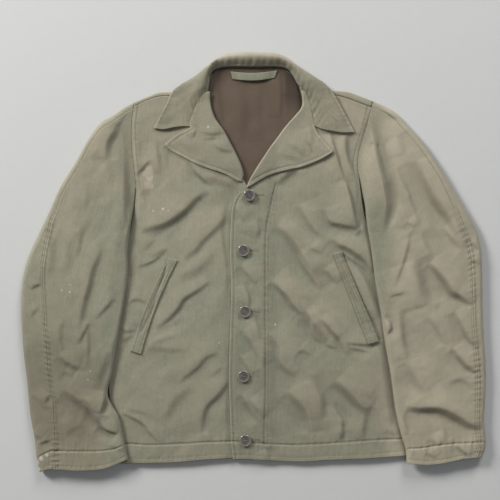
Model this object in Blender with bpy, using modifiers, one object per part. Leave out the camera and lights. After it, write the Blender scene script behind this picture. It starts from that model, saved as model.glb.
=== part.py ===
"""Deck jacket laid flat on its back: shell, lapels, collar, lining, pockets and buttons.

Sizes and places are in millimetres, and a vertex is placed at MM times them. The jacket lies on
the floor at z = 0, with +X towards the wearer's left sleeve and +Y towards the collar. "Right"
and "left" in names are the wearer's.
"""

import bmesh
import bpy
import numpy as np
from mathutils import Vector
from mathutils.bvhtree import BVHTree

MM = 0.001

# Cloth and the stack of layers
CLOTH = 1.8
LINING = 1.4
SEAM_GAP = 0.3
LAYER_GAP = 0.6
FRONT_TOP = 5.5
OVERLAP_RISE = 2.5
NECK_RISE = 1.2
FALL_RISE = 2.4
LOWEST_FRONT_TOP = 4.4
LAPEL_CLEARANCE = 0.9
BACK_INSET = 0.3
ARMHOLE_GAP = 0.7
FRONT_COLUMNS = 10
ARMHOLE_STEPS = 9
SIDE_STEPS = 22

# Sleeves
SLEEVE_TOP = 15.0
SLEEVE_EDGE_ROUND = 7.5
SLEEVE_OVER_BODY = 7.6
SLEEVE_LIFT_FLAT = 24.0
SLEEVE_LIFT_WIDTH = 34.0
SLEEVE_FOLD_HALF = 3.6
SLEEVE_CLOTH = 1.4
SLEEVE_ROWS = 24
FLAT_COLUMNS = 5
ROUND_STEPS = 4

# Turned edges
ROLL_ROUND = 3.5
HEM_DEPTH = 32.0
HEM_THICKENING = 0.8

# Buttons: 32 line, dished, with a raised rim
BUTTON_RADIUS = 10.0
BUTTON_HEIGHT = 3.6
BUTTON_RIM = 1.7
BUTTON_DISH = 1.0
BUTTON_STEPS = 20
BUTTON_CENTRES = ((-7, 114), (-17, 20), (-14.5, -84), (-17, -194), (-14, -303))

# Edge lines, each row x, y
ARMHOLE_RIGHT = ((-204, 273), (-204.5, 266), (-208, 234), (-207, 191), (-203, 157), (-200, 124))
SIDE_RIGHT = ((-200, 124), (-203, 90), (-208, 62), (-215, 36), (-219, 0), (-223, -45), (-231, -100),
              (-240, -160), (-247, -215), (-241, -262), (-234, -305), (-230, -343))
HEM_RIGHT = ((-230, -343), (-176, -342), (-133, -341), (-91, -337), (-37, -334), (12, -335))
SHOULDER_RIGHT = ((-204.5, 266), (-180, 277), (-160, 283), (-134, 284), (-110, 289), (-79, 295))
UNDERLAP_RIGHT = ((-7, 124), (6, 95), (12, 50), (12, -100), (12, -335))
ARMHOLE_LEFT = ((204, 275), (201, 264), (197, 247), (192, 228), (185, 206), (179, 184), (177, 165),
                (180, 145))
SIDE_LEFT = ((180, 145), (184.5, 108), (188.5, 84), (196, 58), (209, 10), (218, -40), (227, -90), (236, -140),
             (243, -190), (249, -240), (257, -285), (265, -329))
HEM_LEFT = ((-35, -336), (-6, -335.5), (28, -338), (79, -340), (130, -337), (198, -334), (265, -329))
SHOULDER_LEFT = ((79, 295), (110, 289), (133, 286), (160, 279), (181, 271), (201, 264))
OVERLAP_LEFT = ((-26, 117), (-35, 100), (-39, 59), (-40, 9), (-38, -38), (-40, -115), (-42, -195),
                (-40, -261), (-38, -309), (-35, -336))
SHOULDER_LINE_RIGHT = ((-204, 273), (-180, 283), (-160, 290), (-134, 291), (-110, 296), (-79, 302))
SHOULDER_LINE_LEFT = ((79, 302), (110, 297), (134, 293), (160, 291), (181, 284), (204, 275))
BACK_NECK = ((-79, 302), (-77, 314), (-68, 326), (-50, 331.5), (0, 331.7), (46, 331.5), (59, 326),
             (68, 314), (79, 302))
BACK_HEM_DROP = 2.0

# Lapels: gorge seam from the roll to the notch, notch to tip, lower edge, and the roll itself
GORGE_RIGHT = ((-80, 289), (-88, 281), (-92, 271), (-98, 257), (-104, 244), (-108, 229))
NOTCH_TO_TIP_RIGHT = ((-108, 229), (-125, 220.5), (-140, 210), (-152, 200))
LAPEL_HEM_RIGHT = ((-152, 200), (-140, 190), (-120, 179), (-100, 169), (-80, 161), (-50, 151), (-27, 139))
ROLL_RIGHT = ((-74, 290), (-73, 270), (-66, 247), (-50, 224), (-41, 207), (-30, 186), (-22, 168),
              (-17, 150), (-20, 137))
GORGE_LEFT = ((88, 289), (94, 275), (98, 258), (101, 245), (104, 231))
NOTCH_TO_TIP_LEFT = ((104, 231), (110, 219), (118, 209), (126, 199), (136, 188))
LAPEL_HEM_LEFT = ((136, 188), (120, 178), (100, 169), (80, 162), (60, 158), (30, 150), (12, 141), (-8, 129))
ROLL_LEFT = ((81, 291), (82, 266), (70, 249), (60, 238), (50, 226), (40, 212), (30, 199), (20, 184),
             (10, 169), (2, 156), (-6, 142), (-13, 127))
ROLL_AT_NOTCH = 0.34
ROLL_AT_TIP = 0.56
LAPEL_CREST = 2.6
ROLL_INSET = 3.6

# Collar: one row for each station from the right point round the neck to the left point, with
# the seam, the crest of the roll, the brink where it turns down, the sole and the outer edge
COLLAR = (
    ((-109.4, 230.5, 10.6), (-120, 231, 11.2), (-136, 229, 11.4), (-153, 226, 11.2), (-170, 228, 10.2)),
    ((-102.8, 252, 11.0), (-114, 255, 12.4), (-129, 253, 12.2), (-145, 249, 11.5), (-160, 246, 10.4)),
    ((-93.2, 274, 12.0), (-102, 280, 15.0), (-118, 281, 13.8), (-133, 277, 12.6), (-149, 268, 11.0)),
    ((-82, 292, 12.4), (-88, 298, 17.0), (-103, 303, 15.6), (-121, 301, 13.6), (-137, 292, 10.8)),
    ((-76, 303, 11.2), (-84, 309, 18.5), (-99, 313, 14.5), (-113, 309.5, 10.0), (-124, 300, 4.6)),
    ((-74.5, 316, 9.0), (-79, 321, 19.5), (-90, 323, 13.5), (-97, 318.5, 6.0), (-107, 302, 0.4)),
    ((-66, 328, 7.6), (-69, 338, 20.0), (-75, 338, 12.0), (-78, 333, 2.5), (-86, 302, 0.0)),
    ((-46, 333, 7.6), (-46, 349, 20.5), (-48, 354, 11.0), (-49, 348, 1.2), (-55, 302, 0.0)),
    ((0, 332.8, 7.6), (0, 351, 21.0), (0, 356.5, 11.0), (0, 350, 1.2), (0, 303, 0.0)),
    ((43, 333, 7.6), (44, 348, 20.5), (47, 353, 11.0), (48, 347, 1.2), (53, 302, 0.0)),
    ((59, 328, 7.6), (65, 336, 20.0), (73, 336, 12.0), (77, 331, 2.5), (84, 302, 0.0)),
    ((68, 316, 9.0), (76, 322, 19.5), (88, 324, 13.5), (96, 319, 6.0), (106, 302, 0.4)),
    ((75, 303, 11.2), (83, 309, 18.5), (97, 315, 14.5), (110, 311, 10.0), (121, 300, 4.6)),
    ((88.8, 294, 12.4), (90, 299, 17.0), (103, 306, 15.6), (118, 303, 13.6), (133, 291, 10.8)),
    ((96.2, 275, 12.0), (103, 281, 15.0), (118, 281, 13.8), (133, 277, 12.6), (147, 268, 11.0)),
    ((101.6, 253, 11.0), (113, 255, 12.4), (129, 252, 12.2), (145, 247, 11.5), (160, 244, 10.4)),
    ((106.2, 232, 10.6), (118, 226, 11.2), (134, 223, 11.4), (150, 220.5, 11.2), (172, 221, 10.2)),
)
COLLAR_COLUMNS = 12
COLLAR_ROWS = 34

# Sleeves: outer fold, inner fold, cuff and the felled seam on top
OUTER_RIGHT = ((-204, 273), (-220, 264), (-240, 250), (-260, 238), (-281, 210), (-303, 170),
               (-328, 130), (-346, 90), (-365, 50), (-383, 10), (-393, -30), (-396, -80),
               (-392, -150), (-386, -200), (-380, -260), (-373, -300), (-370, -330), (-365, -356.8))
INNER_RIGHT = ((-201, 124), (-205, 90), (-210, 55), (-214, 20), (-214, -20), (-219, -60),
               (-225, -95), (-233, -140), (-241, -190), (-248, -222), (-240, -243), (-229, -262),
               (-221, -300), (-213, -334))
CUFF_RIGHT = ((-365, -356.8), (-345, -351), (-300, -353), (-255, -350), (-213, -334))
SEAM_RIGHT = ((0.0, 0.12), (0.30, 0.13), (0.42, 0.20), (0.50, 0.24), (0.65, 0.29), (0.80, 0.31),
              (1.0, 0.20))
OUTER_LEFT = ((204, 275), (220, 268), (240, 257), (260, 236), (290, 201), (318, 160), (345, 115),
              (366, 80), (380, 53), (388, 20), (390, -40), (391, -100), (396, -190), (395, -230),
              (393, -270), (396, -310), (390, -331))
INNER_LEFT = ((181, 145), (189, 100), (192, 70), (200, 20), (208, -40), (216, -85), (223, -135),
              (233, -190), (241, -250), (250, -290), (258, -316), (260, -341))
CUFF_LEFT = ((390, -331), (360, -333), (330, -339), (300, -343), (260, -341))
SEAM_LEFT = ((0.0, 0.11), (0.30, 0.10), (0.42, 0.12), (0.55, 0.11), (0.80, 0.10), (1.0, 0.10))

# Body side hidden below the sleeve, and how far along the sleeve it starts
SIDE_HIDE_START = 0.03
SIDE_HIDE_END = 0.12

# Largest folds: start, middle and end of each, half width on both sides, and height
FOLDS_FRONT_RIGHT = (
    (-79, 130, -125, 97, -190, 72, 13, 14, 3.4),
    (-172, 208, -166, 165, -163, 132, 12, 12, -2.0),
    (-99, 84, -145, 60, -198, 47, 13, 12, -2.2),
    (-64, 130, -93, 148, -110, 168, 12, 12, 2.4),
    (-43, 69, -68, 42, -99, 8, 14, 14, -1.8),
    (-62, 80, -86, 52, -118, 22, 13, 13, 2.4),
    (-82, -38, -115, -75, -155, -103, 13, 15, -2.2),
    (-60, -62, -92, -98, -134, -126, 16, 16, 2.6),
    (-42, -200, -68, -238, -87, -285, 11, 13, -2.0),
    (-62, -192, -90, -236, -108, -290, 13, 13, 2.2),
    (-232, -240, -198, -272, -162, -307, 14, 14, 2.2),
    (-206, -18, -222, -100, -238, -200, 16, 16, 2.4),
)
FOLDS_FRONT_LEFT = (
    (133, 215, 148, 165, 172, 76, 12, 12, 3.4),
    (158, 214, 164, 180, 158, 150, 10, 10, -2.0),
    (104, 102, 140, 84, 178, 66, 12, 14, 2.6),
    (79, 93, 96, 69, 113, 47, 13, 13, -1.8),
    (28, 64, 70, 14, 121, -64, 14, 14, -2.0),
    (44, 74, 92, 22, 138, -46, 15, 15, 2.4),
    (31, -30, 84, -82, 144, -149, 14, 15, -2.4),
    (22, -66, 68, -116, 120, -170, 16, 16, 2.8),
    (135, 42, 168, 26, 200, 4, 11, 12, 2.6),
    (139, -200, 158, -224, 186, -247, 14, 14, -1.8),
    (135, -232, 148, -262, 158, -298, 12, 12, -1.8),
    (118, -214, 128, -258, 136, -300, 14, 14, 2.2),
)
FOLDS_SLEEVE_RIGHT = (
    (-230, 232, -229, 160, -231, 60, 11, 12, 4.5),
    (-212, 222, -214, 160, -211, 70, 9, 9, -3.0),
    (-246, 236, -242, 180, -252, 120, 12, 16, -3.5),
    (-240, 15, -266, -30, -284, -110, 15, 15, 4.0),
    (-262, 0, -282, -60, -296, -116, 13, 13, -3.5),
    (-240, -62, -266, -96, -294, -134, 12, 13, 3.5),
    (-310, -228, -276, -252, -245, -290, 13, 13, -3.5),
    (-330, -212, -290, -226, -252, -236, 15, 15, 4.0),
    (-276, 205, -312, 120, -345, 40, 22, 22, 3.0),
)
FOLDS_SLEEVE_LEFT = (
    (209, 240, 224, 160, 231, 70, 12, 13, -5.0),
    (222, 232, 242, 150, 248, 60, 14, 16, 4.5),
    (202, 215, 207, 160, 212, 100, 9, 9, 2.5),
    (285, 160, 310, 100, 345, 30, 18, 18, -4.0),
    (262, 170, 282, 110, 308, 40, 20, 20, 3.5),
    (266, 50, 257, 0, 240, -40, 13, 14, -3.0),
    (300, -5, 330, -50, 368, -72, 14, 14, -4.0),
    (286, -26, 312, -76, 360, -104, 18, 18, 4.0),
    (340, -150, 360, -168, 378, -182, 13, 13, -3.0),
    (275, -245, 325, -254, 385, -280, 14, 14, -4.0),
    (268, -222, 318, -232, 384, -252, 16, 16, 3.5),
)

# Pocket welts: four corners, top outer end first and round
WELT_RIGHT = ((-145, 7), (-130, 3), (-192, -157), (-209, -151))
WELT_LEFT = ((135, 16), (150, 19), (213, -135), (196, -140))
WELT_BOW = 5.0
WELT_CLOTH = 1.5

# Hanger loop at the back of the neck
LOOP_ENDS = ((-39, 325), (-36, 312), (36, 314), (41, 327))
LOOP_DIP = 4.0
LOOP_SLACK = 2.2
LOOP_CLOTH = 1.2

LINING_TOP = ((-66.5, 325), (-50, 330), (0, 330.4), (46, 330), (57.5, 325))
LINING_SIDE_RIGHT = ((-66.5, 325), (-73, 313), (-75, 302), (-77, 288), (-86, 264), (-84, 235), (-64, 200),
                     (-46, 165), (-34, 118))
LINING_SIDE_LEFT = ((57.5, 325), (66, 314), (74.5, 302), (78, 288), (92, 264), (84, 232), (58, 198), (36, 165),
                    (20, 118))
LINING_FOOT = ((-34, 118), (-8, 112), (20, 118))

# name: colour, roughness
FINISHES = {
    "drill": ((0.262, 0.250, 0.178, 1.0), 0.85),
    "facing": ((0.275, 0.258, 0.185, 1.0), 0.85),
    "wool_lining": ((0.133, 0.095, 0.069, 1.0), 0.95),
    "button_resin": ((0.110, 0.098, 0.090, 1.0), 0.35),
}


def smooth_line(rows, per_span=12):
    """A dense smooth line through the rows, which may be 2D or 3D."""
    knots = np.asarray(rows, float)
    if len(knots) == 2:
        return knots
    padded = np.vstack([2 * knots[0] - knots[1], knots, 2 * knots[-1] - knots[-2]])
    steps = np.linspace(0, 1, per_span, endpoint=False)[:, None]
    spans = []
    for k in range(len(knots) - 1):
        before, start, end, after = padded[k:k + 4]
        chord = np.linalg.norm(end - start)
        leave = (end - before) * chord / max(np.linalg.norm(end - before), 1e-9)
        arrive = (after - start) * chord / max(np.linalg.norm(after - start), 1e-9)
        spans.append((2 * steps**3 - 3 * steps**2 + 1) * start + (steps**3 - 2 * steps**2 + steps) * leave
                     + (3 * steps**2 - 2 * steps**3) * end + (steps**3 - steps**2) * arrive)
    return np.vstack(spans + [knots[-1:]])


def along(line, fractions):
    """Points at fractions of the line's length."""
    lengths = np.concatenate([[0], np.cumsum(np.linalg.norm(np.diff(line, axis=0), axis=1))])
    at = np.asarray(fractions) * lengths[-1]
    return np.stack([np.interp(at, lengths, line[:, k]) for k in range(line.shape[1])], axis=-1)


def joined(*tables):
    """One line through several edge tables that follow each other."""
    return np.vstack([smooth_line(table) for table in tables])


def patch(top, bottom, first, last, across, down):
    """Points of a sheet between four edges: top and bottom run across, first and last run down."""
    u = across[None, :, None]
    v = down[:, None, None]
    upper = along(top, across)[None]
    lower = along(bottom, across)[None]
    start = along(first, down)[:, None]
    end = along(last, down)[:, None]
    corners = ((1 - u) * (1 - v) * upper[:, :1] + u * (1 - v) * upper[:, -1:]
               + (1 - u) * v * lower[:, :1] + u * v * lower[:, -1:])
    return (1 - v) * upper + v * lower + (1 - u) * start + u * end - corners


def ease(value):
    """A smooth step from 0 to 1."""
    held = np.clip(value, 0, 1)
    return held * held * (3 - 2 * held)


def folds(x, y, rows):
    """Height of the soft ridges and troughs at x, y."""
    height = np.zeros_like(x)
    steps = np.linspace(0, 1, 15)
    for x0, y0, xm, ym, x1, y1, width_a, width_b, rise in rows:
        px = (1 - steps)**2 * x0 + 2 * steps * (1 - steps) * xm + steps**2 * x1
        py = (1 - steps)**2 * y0 + 2 * steps * (1 - steps) * ym + steps**2 * y1
        away = np.hypot(x[..., None] - px, y[..., None] - py)
        nearest = away.argmin(axis=-1)
        distance = away.min(axis=-1)
        side = (x - px[nearest]) * (y1 - y0) - (y - py[nearest]) * (x1 - x0)
        width = np.where(side > 0, width_a, width_b)
        fade = np.sqrt(np.sin(np.pi * np.clip(steps[nearest] * 0.84 + 0.08, 0, 1)))
        height += rise * fade * np.exp(-(distance / width)**2)
    return height


def fall_rise(x, y):
    """The body is lifted over the back of the collar, which lies under it."""
    return FALL_RISE * ease((y - 270) / 20) * ease((158 - np.abs(x)) / 28)


def front_top(x, y, fold_rows):
    """Height of a front's outer face."""
    near_neck = NECK_RISE * ease((y - 96) / 30) * ease((135 - np.abs(x + 5)) / 30)
    hem = HEM_THICKENING * ease((HEM_DEPTH - 334 - y) / 2)
    raw = FRONT_TOP + near_neck + hem + folds(x, y, fold_rows)
    return np.maximum(raw, LOWEST_FRONT_TOP + near_neck) + fall_rise(x, y)


def right_top(x, y):
    """The right front, which runs below the left one at the middle."""
    calm = ease((-16 - x) / 24)
    still = front_top(x, y, ())
    return still + (front_top(x, y, FOLDS_FRONT_RIGHT) - still) * calm


def left_top(x, y):
    """The left front, which laps over the right one at the middle."""
    calm = ease((x - 8) / 24)
    still = front_top(x, y, ())
    return still + left_lap(x) + (front_top(x, y, FOLDS_FRONT_LEFT) - still) * calm


def normals(grid):
    """Unit normals of a grid of points, on the side of across times down."""
    du = np.gradient(grid, axis=1)
    dv = np.gradient(grid, axis=0)
    cross = np.cross(du, dv)
    return cross / np.maximum(np.linalg.norm(cross, axis=-1, keepdims=True), 1e-9)


def upward(outward, at):
    """Normals turned over where the one named points down."""
    return outward if outward[at][2] > 0 else -outward


def material(name):
    colour, roughness = FINISHES[name]
    made = bpy.data.materials.get(name)
    if made is None:
        made = bpy.data.materials.new(name)
        made.use_nodes = True
        shader = made.node_tree.nodes["Principled BSDF"]
        shader.inputs["Base Color"].default_value = colour
        shader.inputs["Roughness"].default_value = roughness
        shader.inputs["Metallic"].default_value = 0.0
    return made


def place(mesh, name, finish, collection):
    mesh.materials.append(material(finish))
    mesh.shade_smooth()
    mesh.set_sharp_from_angle(angle=0.9)
    piece = bpy.data.objects.new(name, mesh)
    collection.objects.link(piece)
    return piece


def cloth(name, sheets, finish, collection):
    """A closed wall from sheets of (outer, inner) point grids that share edge points."""
    bm = bmesh.new()
    number = bm.verts.layers.int.new("point")
    inner_points = []
    for outer, inner in sheets:
        rows, columns = outer.shape[:2]
        made = bmesh.ops.create_grid(bm, x_segments=columns - 1, y_segments=rows - 1, size=1)["verts"]
        for vert in made:
            column = round((vert.co.x + 1) / 2 * (columns - 1))
            row = round((vert.co.y + 1) / 2 * (rows - 1))
            vert[number] = len(inner_points) + row * columns + column
            vert.co = Vector(outer[row, column] * MM)
        inner_points.extend(inner.reshape(-1, 3))
    bmesh.ops.remove_doubles(bm, verts=bm.verts[:], dist=1e-6)
    grown = bmesh.ops.extrude_face_region(bm, geom=bm.faces[:])["geom"]
    for vert in (item for item in grown if isinstance(item, bmesh.types.BMVert)):
        vert.co = Vector(inner_points[vert[number]] * MM)
    bmesh.ops.recalc_face_normals(bm, faces=bm.faces[:])
    bmesh.ops.triangulate(bm, faces=bm.faces[:])
    mesh = bpy.data.meshes.new(name)
    bm.to_mesh(mesh)
    bm.free()
    return place(mesh, name, finish, collection)


def straight_down(grid, wall):
    """The inner face of a flat sheet, right below the outer one."""
    return grid - np.array([0, 0, wall])


def with_height(flat, height):
    return np.concatenate([flat, height[..., None]], axis=-1)


def inset(rows, distance):
    """A line moved to its left by a distance."""
    line = smooth_line(rows)
    run = np.gradient(line, axis=0)
    run /= np.linalg.norm(run, axis=1, keepdims=True)
    return line + np.column_stack([-run[:, 1], run[:, 0]]) * distance


def side_line(armhole, side):
    """Points down a body edge: the armhole in even steps, then the side in even steps."""
    return np.vstack([along(smooth_line(armhole), np.linspace(0, 1, ARMHOLE_STEPS + 1)),
                      along(smooth_line(side), np.linspace(0, 1, SIDE_STEPS + 1))[1:]])


def body_rows(line):
    """The fractions of a line's length at its points."""
    lengths = np.concatenate([[0], np.cumsum(np.linalg.norm(np.diff(line, axis=0), axis=1))])
    return lengths / lengths[-1]


def front_side(armhole, side, shoulder_end):
    """A front's side line, which starts where the shoulder seam ends."""
    line = side_line(armhole, side)
    line[0] = shoulder_end
    return line


def front(name, shoulder, hem, side, edge, surface, lap, side_is_first, collection):
    """A front panel; its folds fade out where the sleeve lies on its side and at the shoulder."""
    across = np.linspace(0, 1, FRONT_COLUMNS)
    down = body_rows(side)
    first, last = (side, edge) if side_is_first else (edge, side)
    flat = patch(smooth_line(shoulder), smooth_line(hem), first, last, across, down)
    x, y = flat[..., 0], flat[..., 1]
    from_side = across if side_is_first else 1 - across
    still = front_top(x, y, ()) + lap(x)
    calm = ease(from_side / 0.12)[None, :] * ease(down / 0.05)[:, None]
    grid = with_height(flat, still + (surface(x, y) - still) * calm)
    cloth(name, [(grid, straight_down(grid, CLOTH))], "drill", collection)


def left_lap(x):
    """Rise of the left front where it lies on the right one."""
    return OVERLAP_RISE * ease((44 - x) / 26)


def fronts(collection):
    right_edge = np.vstack([[SHOULDER_RIGHT[-1]], inset(ROLL_RIGHT, -ROLL_INSET)[4:-8],
                            smooth_line(UNDERLAP_RIGHT)])
    front("front_right_panel", SHOULDER_RIGHT, HEM_RIGHT, front_side(ARMHOLE_RIGHT, SIDE_RIGHT, SHOULDER_RIGHT[0]),
          right_edge, right_top, np.zeros_like, True, collection)
    left_edge = np.vstack([[SHOULDER_LEFT[0]], inset(ROLL_LEFT, ROLL_INSET)[4:], smooth_line(OVERLAP_LEFT)])
    front("front_left_panel", SHOULDER_LEFT, HEM_LEFT, front_side(ARMHOLE_LEFT, SIDE_LEFT, SHOULDER_LEFT[-1]),
          left_edge, left_top, left_lap, False, collection)


def shoulder_wrap(line_rows, seam_rows, fractions):
    """The back cloth rolls over the shoulder line and ends at the seam on top."""
    line = along(smooth_line(line_rows), fractions)
    seam = along(smooth_line(seam_rows), fractions)
    inward = (seam - line) / np.linalg.norm(seam - line, axis=1, keepdims=True)
    radius = FRONT_TOP / 2
    centre = line + inward * radius
    rows = []
    for angle in np.radians((-90, -50, -10, 30, 65, 90)):
        flat = centre - inward * radius * np.cos(angle)
        rows.append(np.column_stack([flat, np.full(len(flat), radius * (1 + np.sin(angle)))]))
    rows.append(np.column_stack([seam - inward * SEAM_GAP, np.full(len(seam), FRONT_TOP)]))
    grid = np.array(rows)
    tops = np.array([front_top(grid[-1, :, 0], grid[-1, :, 1], ()) - FRONT_TOP])
    share = (grid[..., 2] / FRONT_TOP)
    rise = fall_rise(grid[..., 0], grid[..., 1]) * (1 - share) + tops * share
    inner = np.array(grid)
    for k, angle in enumerate(np.radians((-90, -50, -10, 30, 65, 90))):
        inner[k, :, :2] = centre - inward * (radius - CLOTH) * np.cos(angle)
        inner[k, :, 2] = radius + (radius - CLOTH) * np.sin(angle)
    inner[-1, :, 2] -= CLOTH
    grid[..., 2] += rise
    inner[..., 2] += rise
    return grid, inner


def back(collection):
    """The back, flat on the floor, with its two rolled shoulders."""
    shoulder = np.linspace(0, 1, FRONT_COLUMNS)
    right = shoulder_wrap(SHOULDER_LINE_RIGHT, SHOULDER_RIGHT, shoulder)
    left = shoulder_wrap(SHOULDER_LINE_LEFT, SHOULDER_LEFT, shoulder)
    neck = along(smooth_line(BACK_NECK), np.linspace(0, 1, 10))
    top = np.vstack([right[0][0, :, :2], neck[1:-1], left[0][0, :, :2]])
    hem = smooth_line(joined(HEM_RIGHT[:-1], HEM_LEFT[1:]) + (0, BACK_HEM_DROP))
    bottom = along(hem, np.linspace(0, 1, len(top)))
    first = side_line(ARMHOLE_RIGHT, SIDE_RIGHT) + (BACK_INSET, 0)
    last = side_line(ARMHOLE_LEFT, SIDE_LEFT) - (BACK_INSET, 0)
    first[0], last[0], first[-1], last[-1] = top[0], top[-1], bottom[0], bottom[-1]
    kept = np.r_[0:ARMHOLE_STEPS + 1, ARMHOLE_STEPS + 3:len(first) - 1:3, len(first) - 1]
    first, last = first[kept], last[kept]
    down = body_rows(first)
    u = np.linspace(0, 1, len(top))[None, :, None]
    v = down[:, None, None]
    corners = ((1 - u) * (1 - v) * top[0] + u * (1 - v) * top[-1]
               + (1 - u) * v * bottom[0] + u * v * bottom[-1])
    flat = (1 - v) * top[None] + v * bottom[None] + (1 - u) * first[:, None] + u * last[:, None] - corners
    grid = with_height(flat, fall_rise(flat[..., 0], flat[..., 1]))
    inner = grid + np.array([0, 0, CLOTH])
    cloth("back_panel", [(grid, inner), right, left], "drill", collection)


def back_top(x, y):
    return fall_rise(x, y) + CLOTH


def lining(collection):
    """The wool lining of the back, as far as the open neck shows it."""
    across = np.linspace(0, 1, 9)
    down = np.linspace(0, 1, 11)
    flat = patch(smooth_line(LINING_TOP), smooth_line(LINING_FOOT), smooth_line(LINING_SIDE_RIGHT),
                 smooth_line(LINING_SIDE_LEFT), across, down)
    grid = with_height(flat, back_top(flat[..., 0], flat[..., 1]) + LAYER_GAP + LINING)
    cloth("back_lining", [(grid, straight_down(grid, LINING))], "wool_lining", collection)

    corners = [np.array(point, float) for point in LOOP_ENDS]
    across = np.linspace(0, 1, 13)
    down = np.linspace(0, 1, 3)
    bow = np.sin(np.pi * across)[:, None] * np.array([0, -LOOP_DIP])
    upper = corners[0] + across[:, None] * (corners[3] - corners[0]) + bow
    lower = corners[1] + across[:, None] * (corners[2] - corners[1]) + bow
    flat = upper[None] * (1 - down[:, None, None]) + lower[None] * down[:, None, None]
    slack = LOOP_SLACK * ease(np.sin(np.pi * across) * 1.6 - 0.3)[None, :]
    seat = back_top(flat[..., 0], flat[..., 1]) + LAYER_GAP + LINING
    grid = with_height(flat, seat + SEAM_GAP + 0.1 + LOOP_CLOTH + slack)
    cloth("hanger_loop", [(grid, straight_down(grid, LOOP_CLOTH))], "facing", collection)


def lapel(name, outline, roll, surface, collection):
    """A lapel from its rolled edge over to its outline, lying on the front."""
    angles = np.radians(np.linspace(0, 90, 4))
    marks = (0, ROLL_AT_NOTCH, ROLL_AT_TIP, 1)
    counts = (5, 4, 8)
    shares = [np.linspace(marks[k], marks[k + 1], counts[k] + 1)[k > 0:] for k in range(3)]
    starts = along(smooth_line(roll), np.concatenate(shares))
    ends = np.vstack([along(smooth_line(outline[k]), np.linspace(0, 1, counts[k] + 1))[k > 0:]
                      for k in range(3)])
    last = len(starts) - 1
    calm = ease(np.minimum(np.arange(last + 1), last - np.arange(last + 1)) / 3)[:, None]
    turn = np.concatenate([np.sin(angles), np.ones(6)])[None, :]
    faces = []
    for wall in (0.0, CLOTH):
        rows = []
        for start, end in zip(starts, ends):
            width = np.linalg.norm(end - start)
            rolled = min(ROLL_ROUND, 0.45 * width)
            bend = wall + (rolled - wall) * (1 - np.cos(angles))
            flat_part = rolled + (width - rolled) * np.linspace(0, 1, 7)[1:]
            rows.append(start + np.concatenate([bend, flat_part])[:, None] / width * (end - start))
        flat = np.array(rows)
        base = surface(flat[..., 0], flat[..., 1])
        crest = LAPEL_CREST * np.linspace(1, 0, flat.shape[1])[None, :]**1.5 * calm
        high = base + LAPEL_CLEARANCE + CLOTH + crest
        low = base + LAPEL_CLEARANCE + (-LAPEL_CLEARANCE - 0.4 * CLOTH) * calm
        faces.append(with_height(flat, low + (high - wall - low) * turn))
    cloth(name, [tuple(faces)], "facing", collection)


def collar(collection):
    """The collar: stand inside the neck, roll, and the fall that lies out and below the back."""
    stations = np.array([along(smooth_line(row), np.linspace(0, 1, COLLAR_COLUMNS)) for row in COLLAR])
    rows = np.linspace(0, 1, COLLAR_ROWS)
    columns = [along(smooth_line(stations[:, k]), rows) for k in range(COLLAR_COLUMNS)]
    grid = np.stack(columns, axis=1)
    grid[..., 2] = np.maximum(grid[..., 2], 0)
    outward = upward(normals(grid), (1, 1))
    cloth("collar", [(grid, grid - outward * CLOTH)], "facing", collection)


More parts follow.
